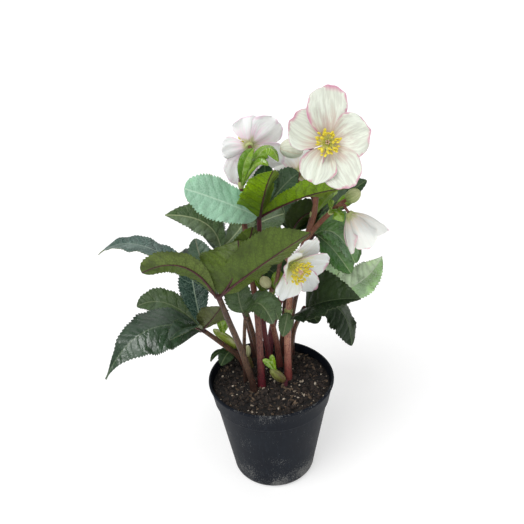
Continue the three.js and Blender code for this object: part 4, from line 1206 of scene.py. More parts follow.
@dataclass(frozen=True)
class Leaflet:
    """A toothed leaflet: a point on its midrib halfway, its tip, its width and the way its upper side faces."""

    through: Triple
    tip: Triple
    width: float
    face: Triple
    fold: float = 16  # degrees that each half rises from the midrib
    rise: float = 1.0  # how slowly it widens from its base
    fall: float = 0.7  # how slowly it narrows to its tip
    ruffle: float = 1.0
    tone: LeafTone | None = None  # its own, if not that of its leaf
    small: bool = False

    THICKNESS = 0.55
    BASE_HALF_WIDTH, LEAST_REACH = 0.9, 0.3
    WAVE, WAVES = 0.05, 1.4
    TOOTH_PITCH, TOOTH_DEPTH, TOOTH_SHARE = 3.3, 1.9, 0.055  # the share of a narrow leaflet's width
    TOOTH_FULL, TOOTH_END, TOOTH_LEAN = 0.72, 0.76, 0.5
    VEIN_PITCH, VEIN_SLANT, VEIN_OFFSET = 9.5, 0.65, 0.22
    QUILT, CURL, BOWL = 0.128, 0.05, 0.85
    FRILL, FRILLS, FINER_FRILLS = 0.016, 4.2, 7.5
    ROWS_A_TOOTH, COLUMNS = 4, 20
    RIB_STEPS, RIB_END, RIB_TIP, RIB_SUNK = 24, 0.88, 0.22, 0.75

    def shape(self, t: float) -> float:
        """Share of its greatest width at t, from its base to its tip.

        Args:
            t: How far along, from 0 to 1.

        Returns:
            The share.
        """
        rise, fall = self.rise, self.fall
        peak = rise / (rise + fall)
        return (t**rise * (1 - t) ** fall) / (peak**rise * (1 - peak) ** fall)

    def rib(self, base: Vector, t: float) -> tuple[Vector, Vector, Vector]:
        """The midrib's point, tangent and upper normal at t.

        Args:
            base: Where the leaflet starts.
            t: How far along, from 0 to 1.

        Returns:
            The point, the tangent and the normal.
        """
        end = vec(self.tip)
        bend = 2 * vec(self.through) - (base + end) / 2
        place = base * (1 - t) ** 2 + bend * (2 * t * (1 - t)) + end * t**2
        tangent = ((bend - base) * (1 - t) + (end - bend) * t).normalized()
        face = vec(self.face)
        return place, tangent, (face - tangent * face.dot(tangent)).normalized()

    def length(self, base: Vector) -> float:
        """Length of the midrib."""
        points = [self.rib(base, i / 12)[0] for i in range(13)]
        return sum((b - a).length for a, b in zip(points, points[1:]))

    def build(self, base: Vector, seed: int, materials: Materials) -> Piece:
        """Builds the blade.

        Args:
            base: Where the leaflet starts.
            seed: Sets its ruffles apart from its neighbours'.
            materials: The finishes of its upper side, its underside and its rib.

        Returns:
            The blade.
        """
        length = self.length(base)
        pitch = self.TOOTH_PITCH * (0.5 if self.small else 1)
        teeth = max(5, round(length / pitch))
        draw = random.Random(seed)
        phase, finer_phase = draw.uniform(0, PHASE), draw.uniform(0, PHASE)
        depth = min(self.TOOTH_DEPTH, self.width * self.TOOTH_SHARE)

        def place(u: float, raw: float) -> Spot:
            """A point of the blade, with more of them near the margin.

            Args:
                u: How far along, from 0 to 1.
                raw: How far across, from -1 to 1.

            Returns:
                The point and its UV.
            """
            v = math.sin(math.pi / 2 * raw)
            point, tangent, normal = self.rib(base, u)
            side = normal.cross(tangent)
            share = self.shape(u)
            half = max(self.BASE_HALF_WIDTH, self.width / 2 * share)
            step = (u * teeth) % 1
            drop = (1 - step) / (1 - self.TOOTH_END)
            tooth = min(1.0, step / self.TOOTH_FULL) if step < self.TOOTH_END else drop
            bite = depth * (1 - tooth) * smooth((abs(v) - 0.9) * 10) * smooth((u - 0.1) * 5) * smooth((1 - u) * 9)
            across = max(self.LEAST_REACH, half - bite) * v
            vein = (u * length - self.VEIN_SLANT * half * abs(v)) / self.VEIN_PITCH + math.copysign(self.VEIN_OFFSET, v)
            quilt = math.cos(math.tau * (vein + 0.5)) * math.sin(math.pi * min(1, abs(v) * 1.1)) * -self.QUILT * share
            rise = math.sin(math.radians(self.fold)) * half * abs(v) ** self.BOWL
            wave = math.sin(math.tau * self.WAVES * u - math.copysign(1, v)) * self.WAVE * self.width * share * abs(v)
            frill = math.sin(math.tau * self.FRILLS * u + phase + 1.3 * v)
            frill += 0.6 * math.sin(math.tau * self.FINER_FRILLS * u + finer_phase)
            frill *= self.FRILL * self.width * self.ruffle * share * v * v
            curl = -self.CURL * half * abs(v) ** 5
            flat = math.cos(math.radians(self.fold))
            point = point + side * (across * flat) + normal * (rise + wave + frill + curl + quilt)
            point += tangent * (self.TOOTH_LEAN * tooth * smooth((abs(v) - 0.95) * 20) * share)
            return point, (u * length / CM, across / CM)

        columns = self.COLUMNS // 2 if self.small else self.COLUMNS
        return add_sheet(self.ROWS_A_TOOTH * teeth, columns, place, self.THICKNESS, materials)

    def build_rib(self, base: Vector, start: Vector, radius: float) -> Piece:
        """The midrib that stands out of the underside.

        Args:
            base: Where the leaflet starts.
            start: The end of the stalk, where the rib comes from.
            radius: Its radius at the base.

        Returns:
            The rib.
        """
        points, radii = [start], [radius * 1.1]
        for i in range(self.RIB_STEPS + 1):
            t = i / self.RIB_STEPS
            place, _, normal = self.rib(base, self.RIB_END * t)
            size = lerp(radius, self.RIB_TIP, t**0.7)
            points.append(place - normal * (size * self.RIB_SUNK))
            radii.append(size)
        return add_tube(points, radii, 2)


@dataclass(frozen=True)
class Stalk:
    """A round stem from the soil along a curve."""

    SOIL = 107
    DEPTH = 24
    STEP = 4
    SHEATH_HEIGHT = 12
    GRAIN = 0.035

    @classmethod
    def curve(cls, root: Sequence[float], points: Sequence[Triple]) -> SmoothCurve:
        """The curve from under the soil through points.

        Args:
            root: The stem's place in the soil.
            points: The points above the soil.

        Returns:
            The curve.
        """
        foot = Vector((root[0], root[1], cls.SOIL - cls.DEPTH))
        collar = Vector((root[0], root[1], cls.SOIL))
        return SmoothCurve((foot, collar, *(vec(p) for p in points)))

    @classmethod
    def build(cls, curve: SmoothCurve, radii: tuple[float, float], sheath: float = 0.0) -> Piece:
        """Builds a tapering stem.

        Args:
            curve: The curve that it follows.
            radii: Its radius at its start and at its end.
            sheath: How much it swells at the soil, as a share.

        Returns:
            The stem.
        """
        points = curve.evenly(cls.STEP)
        sizes = []
        for i, point in enumerate(points):
            t = i / (len(points) - 1)
            swell = sheath * math.exp(-(((point.z - cls.SOIL) / cls.SHEATH_HEIGHT) ** 2))
            grain = cls.GRAIN * noise.noise(point * 0.07)
            sizes.append(lerp(*radii, t) * (1 + swell + grain))
        return add_tube(points, sizes, 6)


@dataclass(frozen=True)
class Leaf:
    """A leaf: its stalk's root and points, the hub at its end, and the leaflets that spread from the hub."""

    name: str
    tone: LeafTone
    root: tuple[float, float]
    through: tuple[Triple, ...]
    hub: Triple
    radius: float
    leaflets: tuple[Leaflet, ...]
    stem: StemTone = StemTone.LEAF_STALK

    CENTRE, REACH = 1.7, 2.2
    FOOT, NECK, SHEATH = 1.15, 0.8, 0.12
    KNOT = ((-3.5, 1), (0, 1.12), (2.4, 0.8))  # places past the hub, and shares of the neck's radius
    RIB_SHARE, BROAD = 0.6, 40

    def build(self, palette: Palette) -> None:
        """Builds the stalk and the blades.

        Args:
            palette: The finishes.
        """
        curve = Stalk.curve(self.root, (*self.through, self.hub))
        radii = (self.radius * self.FOOT, self.radius * self.NECK)
        stalk = Stalk.build(curve, radii, self.SHEATH)
        dress(stalk, palette.of(self.stem))
        settle(stalk, f"grown_{self.name}_stalk", "stalk", f"{self.name}_stalk")

        end = vec(self.hub)
        direction = (end - curve.at(0.97)).normalized()
        centre = end + direction * self.CENTRE
        parts = []
        for i, leaflet in enumerate(self.leaflets):
            materials = (*palette.of(leaflet.tone or self.tone), palette.of(StemTone.RIB))
            out = vec(leaflet.through) - centre
            out = (out - direction * out.dot(direction)).normalized() * self.REACH
            blade = leaflet.build(centre + out, hash_of(self.name) + i, materials)
            thick = radii[1] * self.RIB_SHARE * (0.7 + 0.3 * min(1.0, leaflet.width / self.BROAD))
            rib = dress(leaflet.build_rib(centre + out, end - direction * 1.5, thick), *materials)
            paint(rib, 2)
            parts += [blade, rib]
        knot = add_tube([end + direction * past for past, _ in self.KNOT], [radii[1] * r for _, r in self.KNOT], 6)
        parts.append(paint(dress(knot, *materials), 2))
        settle(join(parts), f"grown_{self.name}_blades", "leaf", f"{self.name}_blades")


# ---- blooms and buds


@dataclass(frozen=True)
class Sepal:
    """A sepal: its angle about the bloom's axis, its length and width, and how it rises and curls, in degrees."""

    angle: float
    length: float
    width: float
    rise: float
    curl: float
    ruffle: float = 1.0
    end: float = 0.64  # share of its width that is left at its end

    THICKNESS = 0.5
    ROOT_RADIUS = 3.4
    WIDEST, CLAW, ROUND = 0.62, 0.2, 0.14
    CUP, WAVE, WAVES, LAP = 0.1, 0.03, 5, 8
    KEEL, KEEL_WIDTH, ROLL = 0.9, 0.16, 0.04
    EDGE, NOTCH, FRILL, PLEAT = (0.035, 0.014), (0.02, 0.009), (0.032, 0.016), (0.1, 0.42)  # each broad and fine
    ROWS, COLUMNS = 44, 30

    def shape(self, t: float) -> float:
        """Share of its greatest width at t, from its claw to its rounded end.

        Args:
            t: How far along, from 0 to 1.

        Returns:
            The share.
        """
        if t < self.WIDEST:
            return self.CLAW + (1 - self.CLAW) * math.sin(math.pi / 2 * t / self.WIDEST)
        return 1 - (1 - self.end) * ((t - self.WIDEST) / (1 - self.WIDEST)) ** 2

    def build(self, order: int, seed: int, materials: Materials) -> Piece:
        """Builds the sepal in the bloom's own frame.

        Args:
            order: Its number in the whorl.
            seed: Sets its folds apart.
            materials: The finishes of its inside and its outside.

        Returns:
            The sepal.
        """
        draw = random.Random(seed * 11 + order)
        phases = [draw.uniform(0, PHASE) for _ in range(8)]
        start, turn, lap = (math.radians(x) for x in (self.rise, self.curl, self.LAP))
        radial = radial_at(math.radians(self.angle))
        side = UP.cross(radial)

        def place(u: float, raw: float) -> Spot:
            """A point of the sepal, with more of them near the margin.

            Args:
                u: How far along, from 0 to 1.
                raw: How far across, from -1 to 1.

            Returns:
                The point and its UV.
            """
            v = math.sin(math.pi / 2 * raw)
            edge = self.EDGE[0] * math.sin(7 * u + phases[4] + v) + self.EDGE[1] * math.sin(19 * u + phases[5])
            out = v * self.width / 2 * self.shape(u) * (1 + u * edge)
            notch = self.NOTCH[0] * math.sin(4.2 * v + phases[0]) + self.NOTCH[1] * math.sin(11 * v + phases[6])
            t = u - self.ROUND * abs(v * u) ** 2.3 + u**5 * notch * (1 - v * v)
            slope = start + turn * t
            reach = self.ROOT_RADIUS + self.length * (math.sin(slope) - math.sin(start)) / turn
            height = self.length * (math.cos(start) - math.cos(slope)) / turn
            normal = UP * math.cos(slope) - radial * math.sin(slope)
            cone = out * out * math.sin(slope) / (2 * reach)
            cup = self.CUP * self.width * v * v * math.sin(math.pi * t)
            cup += self.WAVE * self.width * v * math.sin(self.WAVES * t + 2 * order)
            keel = -self.KEEL * math.exp(-((v / self.KEEL_WIDTH) ** 2))
            pleats = self.PLEAT[0] * math.sin(24 * v + phases[3]) + self.PLEAT[1] * math.sin(8 * v + phases[7])
            frill = self.FRILL[0] * u * v * v * math.sin(7 * u + 2.2 * v + phases[1])
            frill += self.FRILL[1] * u * u * math.sin(7 * v + phases[2] + 2 * u)
            frill *= self.width * self.ruffle
            roll = -self.ROLL * self.width * smooth((abs(v) - 0.75) * 4) * u
            offset = cone + cup + (keel + pleats) * math.sin(math.pi * u) + frill + roll + out * math.sin(lap)
            point = radial * reach + UP * height + side * (out * math.cos(lap)) + normal * offset
            return point, (u, (v + 1) / 2)

        return add_sheet(self.ROWS, self.COLUMNS, place, self.THICKNESS, materials)


@dataclass(frozen=True)
class Bloom:
    """An open bloom: its place, the way it faces, its sepals and its stamens."""

    name: str
    at: Triple
    facing: Triple
    sepals: tuple[Sepal, ...]
    stamens: int
    stamen_length: float
    spread: float
    tone: SepalTone = SepalTone.OPEN

    RECEPTACLE = ((-2.5, 3.0), (-1.5, 3.7), (0.5, 4.5), (2.0, 4.4), (2.5, 3.4))  # heights and radii
    CROWN_IN, CROWN_OUT, CROWN_TOP = 1.9, 3.2, 3.6
    NECTARIES = 11
    NECTARY = ((2.55, 3.2, 0.45), (4.0, 4.0, 0.75), (4.7, 5.2, 0.95), (4.6, 6.2, 0.8))  # out, up and radius
    ANTHER, SHORTEST = 1.2, 0.62
    CARPELS = 5
    CARPEL = ((0.5, 3.0, 0.4), (0.9, 4.4, 0.75), (0.95, 5.6, 0.7), (0.9, 7.0, 0.35))  # out, up and radius
    STYLE_SHARE, STYLE_RADIUS = 0.7, 0.34

    def build(self, palette: Palette) -> None:
        """Builds the sepals, the stamens with their nectaries, and the pistil.

        Args:
            palette: The finishes.
        """
        place = facing_matrix(self.at, self.facing)
        seed = hash_of(self.name)
        inside, outside = palette.of(self.tone)
        materials = (inside, outside, palette.of(StemTone.PALE))
        parts = [sepal.build(i, seed, materials) for i, sepal in enumerate(self.sepals)]
        receptacle = add_tube([UP * height for height, _ in self.RECEPTACLE], [r for _, r in self.RECEPTACLE], 8)
        parts.append(paint(dress(receptacle, *materials), 2))
        self.finish(join(parts), place, "sepals", "sepal")
        self.finish(self.build_stamens(palette, seed), place, "stamens", "stamen")
        self.finish(self.build_pistil(palette), place, "pistil", "pistil")

    def finish(self, piece: Piece, place: Matrix, kind: str, slot: str) -> None:
        """Moves a piece from the bloom's frame to its place, and settles it as one kind of part."""
        piece.data.transform(place)
        settle(piece, f"grown_{self.name}_{kind}", slot, f"{self.name}_{kind}")

    def build_stamens(self, palette: Palette, seed: int) -> Piece:
        """The ring of nectaries with the stamens that rise from it.

        Args:
            palette: The finishes.
            seed: Seeds the draws.

        Returns:
            The object.
        """
        draw = random.Random(seed)
        materials = (palette.nectary, palette.filament, palette.anther)
        middle = (self.CROWN_IN + self.CROWN_OUT) / 2
        ring = [radial_at(angle) * middle + UP * 3.4 for angle in turns(24)]
        parts = [dress(add_tube([*ring, ring[0]], [0.6] * 25, 2), *materials)]
        parts += [dress(self.tube_at(self.NECTARY, angle, 2), *materials) for angle in turns(self.NECTARIES)]
        anther = self.anther_mesh()
        for i in range(self.stamens):
            radial = radial_at(i * GOLDEN_ANGLE + draw.uniform(-0.2, 0.2))
            lean = math.radians(self.spread) * (0.2 + 0.8 * math.sqrt((i + 0.5) / self.stamens))
            foot = radial * draw.uniform(self.CROWN_IN, self.CROWN_OUT) + UP * self.CROWN_TOP
            reach = (self.stamen_length - self.ANTHER) * draw.uniform(self.SHORTEST, 1.0)
            head = foot + radial * (reach * math.sin(lean)) + UP * (reach * math.cos(lean))
            bow = (foot + head) / 2 + UP * reach * 0.08
            line = SmoothCurve((foot, bow, head)).evenly(reach / 5)
            filament = dress(add_tube(line, [0.28, *[0.2] * (len(line) - 1)], 1), *materials)
            parts.append(paint(filament, 1))
            astray = Vector([draw.uniform(-0.5, 0.5) for _ in range(3)])
            tilt = (radial * math.sin(lean) + UP * math.cos(lean) + astray).normalized()
            place = Matrix.Translation(head) @ UP.rotation_difference(tilt).to_matrix().to_4x4()
            parts.append(paint(dress(copy_of(anther, place), *materials), 2))
        bpy.data.objects.remove(anther)
        return join(parts)

    @staticmethod
    def tube_at(rings: Sequence[Triple], angle: float, resolution: int) -> Piece:
        """A tube at an angle about the axis, from how far out and up each of its rings is, and its radius."""
        radial = radial_at(angle)
        return add_tube([radial * out + UP * up for out, up, _ in rings], [ring[2] for ring in rings], resolution)

    @staticmethod
    def anther_mesh() -> Piece:
        """One anther: two swollen lobes side by side, with a groove between them.

        Returns:
            The object.
        """
        deselect_all()
        bpy.ops.mesh.primitive_uv_sphere_add(segments=8, ring_count=6, radius=1)
        anther = bpy.context.object
        for vertex in anther.data.vertices:
            x, y, z = vertex.co
            groove = 1 - 0.35 * math.exp(-((x / 0.3) ** 2))
            vertex.co = (x * 1.25, y * 0.85 * groove, z * 1.75 + 0.3)
        smooth_faces(anther, 80)
        return anther

    def build_pistil(self, palette: Palette) -> Piece:
        """The carpels, with their styles bent out at the tips.

        Args:
            palette: The finishes.

        Returns:
            The object.
        """
        length = self.stamen_length * self.STYLE_SHARE
        materials = (palette.nectary, palette.style)
        parts = []
        for angle in turns(self.CARPELS):
            parts.append(dress(self.tube_at(self.CARPEL, angle, 3), *materials))
            rings = ((0.9, 6.8), (1.1, 4 + length * 0.7), (1.6, 3.9 + length))
            style = SmoothCurve(tuple(radial_at(angle) * out + UP * up for out, up in rings)).evenly(1)
            parts.append(paint(dress(add_tube(style, [self.STYLE_RADIUS] * 20, 2), *materials), 1))
        return join(parts)


@dataclass(frozen=True)
class Wrap:
    """The sepals wound round a closed bud, each with one edge under its neighbour and one over it."""

    length: float
    radius: float  # at its widest
    count: int
    twist: float  # turns round the bud from its base to its tip

    OPENING, FULLNESS = 0.015, 0.9
    FOOT, NARROWING, OVER, OVERLAP, STAGGER = 1.06, 0.3, 0.055, 0.35, 0.02
    ROWS, COLUMNS, THICKNESS = 26, 20, 0.4

    def sepal(self, start: float, materials: Materials) -> Piece:
        """The sepal whose middle starts at an angle in radians.

        Args:
            start: The angle.
            materials: The finishes of its outside and inside.

        Returns:
            The sepal.
        """

        def place(u: float, v: float) -> Spot:
            """A point of the sepal.

            Args:
                u: How far along, from 0 to 1.
                v: How far across, from -1 to 1.

            Returns:
                The point and its UV.
            """
            lift = math.pi * min(1 - self.OPENING, max(self.OPENING, u))
            swell = self.radius * (self.FOOT - self.NARROWING * u) * math.sin(lift) ** self.FULLNESS
            swell *= 1 + self.OVER * v
            turn = start + v * (math.pi / self.count + self.OVERLAP) + math.tau * self.twist * u
            height = self.length * ((1 - math.cos(lift)) / 2 + self.STAGGER * v * u)
            return Vector((swell * math.cos(turn), swell * math.sin(turn), height)), (u, (v + 1) / 2)

        sheet = add_sheet(self.ROWS, self.COLUMNS, place, self.THICKNESS, materials)
        point_outwards(sheet)
        return sheet

    def build(self, materials: Materials) -> list[Piece]:
        """Builds the sepals on the origin along z, with the finishes of their outside and inside."""
        return [self.sepal(start, materials) for start in turns(self.count)]


@dataclass(frozen=True)
class Bud:
    """A closed bud: the middle of its base, the way it points, its length and its greatest radius."""

    name: str
    at: Triple
    pointing: Triple
    length: float
    radius: float
    tone: SepalTone

    WRAPS, TWIST = 4, 0.06

    def build(self, palette: Palette) -> None:
        """Builds the bud.

        Args:
            palette: The finishes.
        """
        inside, outside = palette.of(self.tone)
        bud = join(Wrap(self.length, self.radius, self.WRAPS, self.TWIST).build((outside, inside)))
        bud.data.transform(facing_matrix(self.at, self.pointing))
        settle(bud, f"grown_{self.name}", "bud", self.name)


# ---- flowering stems


@dataclass(frozen=True)
class Branch:
    """A branch: where it starts if not at the fork, its points, what it carries or where it ends, and its radius."""

    radius: float
    through: tuple[Triple, ...] = ()
    to: str = ""
    end: Triple | None = None
    start: Triple | None = None


@dataclass(frozen=True)
class FloweringStem:
    """A flowering stem with its branches, and the bracts that sheathe its fork."""

    name: str
    tone: StemTone
    root: tuple[float, float]
    through: tuple[Triple, ...]
    end: Triple
    radii: tuple[float, float]
    branches: tuple[Branch, ...]
    collar_run: int
    collar_at: float
    bracts: tuple[Leaflet, ...]

    STRAIGHT, SWELL, FOOT_SWELL = 12, 1.2, 0.15
    BLOOM_SEAT, BUD_SEAT = 0.1, 3.6

    def tip_of(self, target: str) -> list[Vector]:
        """Two points in line with the bloom or bud that a branch carries.

        Args:
            target: The bloom's or bud's name.

        Returns:
            The points.
        """
        bloom = next((b for b in BLOOMS if b.name == target), None)
        bud = next((b for b in BUDS if b.name == target), None)
        axis = vec(bloom.facing if bloom else bud.pointing).normalized()
        seat = self.BLOOM_SEAT if bloom else self.BUD_SEAT
        return [vec(bloom.at if bloom else bud.at) + axis * along for along in (seat - self.STRAIGHT, seat)]

    def runs(self) -> list[tuple[SmoothCurve, tuple[float, float]]]:
        """The curve and the radii of the stem and of each branch.

        Returns:
            A curve with its radii for each.
        """
        result = [(Stalk.curve(self.root, (*self.through, self.end)), self.radii)]
        for branch in self.branches:
            last = self.tip_of(branch.to) if branch.to else [vec(branch.end)]
            points = (vec(branch.start or self.end), *(vec(p) for p in branch.through), *last)
            result.append((SmoothCurve(points), (branch.radius * self.SWELL, branch.radius)))
        return result

    def build(self, palette: Palette) -> None:
        """Builds the stem with its branches, and its bracts.

        Args:
            palette: The finishes.
        """
        runs = self.runs()
        tubes = [Stalk.build(*run, 0 if i else self.FOOT_SWELL) for i, run in enumerate(runs)]
        stem = dress(join(tubes), palette.of(self.tone))
        settle(stem, f"grown_{self.name}", "stem", self.name)
        curve, radii = runs[self.collar_run]
        bracts = build_collar(curve, radii, self.collar_at, self.bracts, palette, hash_of(self.name))
        settle(bracts, f"grown_{self.name}_bracts", "bract", f"{self.name}_bracts")


# Places along the stem from the sheath's middle, and shares of the stem's radius
SHEATH = ((-3.4, 0.98), (-2.2, 1.1), (-0.8, 1.24), (0.8, 1.28), (2.0, 1.16), (3.0, 0.98))


def build_collar(
    curve: SmoothCurve,
    radii: tuple[float, float],
    at: float,
    bracts: Sequence[Leaflet],
    palette: Palette,
    seed: int,
    tone: LeafTone = LeafTone.BRACT,
) -> Piece:
    """A sheath round a stem with the bracts that spring from it.

    Args:
        curve: The stem's curve.
        radii: The stem's radius at its start and end.
        at: The sheath's place along it, by length.
        bracts: The bracts.
        palette: The finishes.
        seed: Sets the bracts' ruffles apart.
        tone: The finish of the bracts.

    Returns:
        The sheath and bracts as one object.
    """
    points = curve.evenly(1)
    k = min(len(points) - 2, round(at * (len(points) - 1)))
    place, direction = points[k], (points[k + 1] - points[k]).normalized()
    radius = lerp(*radii, at)
    materials = (*palette.of(tone), palette.of(StemTone.PALE))
    sheath = add_tube([place + direction * z for z, _ in SHEATH], [radius * share for _, share in SHEATH], 6)
    parts = [paint(dress(sheath, *materials), 2)]
    for i, bract in enumerate(bracts):
        out = vec(bract.through) - place
        out = (out - direction * out.dot(direction)).normalized()
        base = place + out * (radius + 0.5)
        parts.append(bract.build(base, seed + i, materials))
    return join(parts)


@dataclass(frozen=True)
class StemLeaf:
    """A small leaf that sheathes a flowering stem at a place along it, by length."""

    stem: str
    at: float
    leaflet: Leaflet

    SEED = 5

    def build(self, palette: Palette) -> None:
        """Builds the leaf with its sheath.

        Args:
            palette: The finishes.
        """
        curve, radii = next(s for s in STEMS if s.name == self.stem).runs()[0]
        piece = build_collar(curve, radii, self.at, (self.leaflet,), palette, self.SEED, LeafTone.SMALL)
        settle(piece, f"grown_{self.stem}_leaf", "leaf", f"{self.stem}_leaf")


@dataclass(frozen=True)
class Shoot:
    """A young shoot: a short stem, the swollen bud on it and the leaf tips that break from the bud."""

    name: str
    tone: StemTone
    bud_tone: SepalTone
    root: tuple[float, float]
    through: tuple[Triple, ...]
    end: Triple
    radii: tuple[float, float]
    bud_length: float
    bud_radius: float
    pointing: Triple
    tips: tuple[Leaflet, ...] = ()

    SUNK, TIPS_FROM = 1.5, 0.6
    WRAPS, TWIST = 3, 0.1

    def build(self, palette: Palette) -> None:
        """Builds the shoot as one piece.

        Args:
            palette: The finishes.
        """
        curve = Stalk.curve(self.root, (*self.through, self.end))
        over, under = palette.of(LeafTone.BRACT)
        materials = (over, under, palette.of(self.tone), palette.of(self.bud_tone)[1])
        parts = [paint(dress(Stalk.build(curve, self.radii), *materials), 2)]
        end = vec(self.end)
        axis = vec(self.pointing).normalized()
        seat = end - (end - curve.at(0.97)).normalized() * self.SUNK
        place = Matrix.Translation(seat) @ UP.rotation_difference(axis).to_matrix().to_4x4()
        for sheet in Wrap(self.bud_length, self.bud_radius, self.WRAPS, self.TWIST).build(materials):
            sheet.data.transform(place)
            parts.append(paint(sheet, 3))
        base = end + axis * self.bud_length * self.TIPS_FROM
        for i, tip in enumerate(self.tips):
            parts.append(tip.build(base, hash_of(self.name) + i, materials))
        settle(join(parts), f"grown_{self.name}", "shoot", self.name)


# ---- pot and soil


@dataclass(frozen=True)
class Pot:
    """A thin round nursery pot with a lip and a wider band under it; sizes in millimetres."""

    height: float = 115
    rim_radius: float = 65
    lip_height: float = 3
    collar_height: float = 22
    collar_top: float = 63.6
    collar_bottom: float = 60.4
    body_top: float = 58.6
    body_bottom: float = 44
    foot_radius: float = 38
    foot_rise: float = 7
    wall: float = 1.5
    floor: float = 2
    drain_holes: int = 6
    drain_radius: float = 4
    drain_circle: float = 28
    segments: int = 144
    rounding: float = 0.25
    finish: PotFinish = PotFinish()

    def profile(self) -> list[tuple[float, float]]:
        """Radius and height of each ring, from the foot up the outside and down the inside to the floor.

        Returns:
            The rings.
        """
        shoulder = self.height - self.collar_height
        lip = self.height - self.lip_height
        out = self.body_bottom - self.foot_radius
        foot = [
            (self.foot_radius + out * math.sin(a), self.foot_rise * (1 - math.cos(a)))
            for a in (math.radians(15 * i) for i in range(1, 7))
        ]
        outside = [
            (self.body_top, shoulder - 2),
            (self.collar_bottom, shoulder - 0.3),
            (self.collar_bottom + 0.2, shoulder + 0.6),
            (self.collar_top, lip - 0.6),
            (self.rim_radius - 0.5, lip - 0.1),
            (self.rim_radius, lip + 0.5),
            (self.rim_radius, self.height - 0.9),
            (self.rim_radius - 0.7, self.height - 0.1),
            (self.rim_radius - 1.5, self.height),
            (self.rim_radius - 2.4, self.height - 0.3),
        ]
        inside = [
            (self.collar_top - self.wall, lip - 1),
            (self.collar_bottom - self.wall, shoulder),
            (self.body_bottom - self.wall, self.foot_rise),
            (self.foot_radius, self.floor),
        ]
        return foot + outside + inside

    def build(self, palette: Palette) -> None:
        """Builds the pot from its foot upwards, one ring after another.

        Args:
            palette: The finishes.
        """
        deselect_all()
        bpy.ops.mesh.primitive_circle_add(vertices=self.segments, radius=self.foot_radius, fill_type="NGON")
        pot = bpy.context.object
        bpy.ops.object.mode_set(mode="EDIT")
        bpy.ops.mesh.select_all(action="SELECT")
        radius, level = self.foot_radius, 0.0
        for next_radius, next_level in self.profile():
            bpy.ops.mesh.extrude_region_move(TRANSFORM_OT_translate={"value": (0, 0, next_level - level)})
            share = next_radius / radius
            bpy.ops.transform.resize(value=(share, share, 1), center_override=(0, 0, next_level))
            radius, level = next_radius, next_level
        point_outwards(pot)
        drills = join([self.drill(angle + math.pi / self.drain_holes) for angle in turns(self.drain_holes)])
        apply(pot, "BOOLEAN", object=drills, operation="DIFFERENCE", solver="EXACT")
        bpy.data.objects.remove(drills)
        apply(pot, "BEVEL", width=self.rounding, segments=2, limit_method="ANGLE", angle_limit=math.radians(35))
        smooth_faces(pot, 40)
        dress(pot, self.finish.make("moulded_plastic", palette.effects))
        settle(pot, "moulded_pot", "pot", "pot")

    def drill(self, angle: float) -> Piece:
        """What is cut out of the floor for the drain hole at an angle in radians.

        Args:
            angle: The angle.

        Returns:
            The object.
        """
        at = (self.drain_circle * math.cos(angle), self.drain_circle * math.sin(angle), self.floor / 2)
        deselect_all()
        bpy.ops.mesh.primitive_cylinder_add(vertices=32, radius=self.drain_radius, depth=3 * self.floor, location=at)
        drill = bpy.context.object
        drill.data.transform(drill.matrix_world)
        drill.matrix_world = Matrix()
        return drill


@dataclass(frozen=True)
class Litter:
    """Crumbs or scraps strewn over the soil; sizes in millimetres."""

    name: str
    count: int
    sizes: tuple[float, float]  # the least and the greatest radius
    shape: Triple  # its proportions
    seed: int
    finish: GrainFinish

    MODELS, SMALLNESS, SUNK = 4, 2.6, 0.15
    ROUGHNESS, ROUGH_PITCH = 0.5, 1.3

    def model(self, number: int) -> Piece:
        """One crumb: a ball pushed in and out by noise.

        Args:
            number: Sets its lumps apart.

        Returns:
            The crumb.
        """
        deselect_all()
        bpy.ops.mesh.primitive_uv_sphere_add(segments=7, ring_count=5, radius=1)
        crumb = bpy.context.object
        for vertex in crumb.data.vertices:
            push = 1 + self.ROUGHNESS * noise.noise(vertex.co * self.ROUGH_PITCH + Vector((number, 0, 0)))
            vertex.co = vertex.co * vec(self.shape) * push
        smooth_faces(crumb, 30)
        return crumb

    def build(self, radius: float, height: Callable[[float, float], float]) -> None:
        """Strews the crumbs.

        Args:
            radius: How far from the pot's axis they reach.
            height: Gives the soil's height at a point.
        """
        draw = random.Random(self.seed)
        models = [self.model(self.seed + i) for i in range(self.MODELS)]
        parts = []
        for _ in range(self.count):
            reach = radius * math.sqrt(draw.random())
            turn = draw.uniform(0, math.tau)
            x, y = reach * math.cos(turn), reach * math.sin(turn)
            size = lerp(*self.sizes, draw.random() ** self.SMALLNESS)
            model = draw.choice(models)
            spin = Quaternion([draw.gauss(0, 1) for _ in range(4)]).normalized()
            place = Matrix.Translation((x, y, height(x, y) + size * self.SUNK)) @ spin.to_matrix().to_4x4()
            parts.append(copy_of(model, place @ Matrix.Scale(size, 4)))
        for model in models:
            bpy.data.objects.remove(model)
        crumbs = dress(join(parts), self.finish.make(self.name.removesuffix("s")))
        settle(crumbs, self.name, "soil")


PEAT = GrainFinish((0.005, 0.004, 0.004), (0.042, 0.028, 0.021), 420, 0.9, 0.6)
BARK = GrainFinish((0.04, 0.026, 0.018), (0.17, 0.115, 0.072), 500, 0.8, 0.5)
MINERAL = GrainFinish((0.26, 0.2, 0.14), (0.62, 0.54, 0.44), 260, 0.8, 0.3)


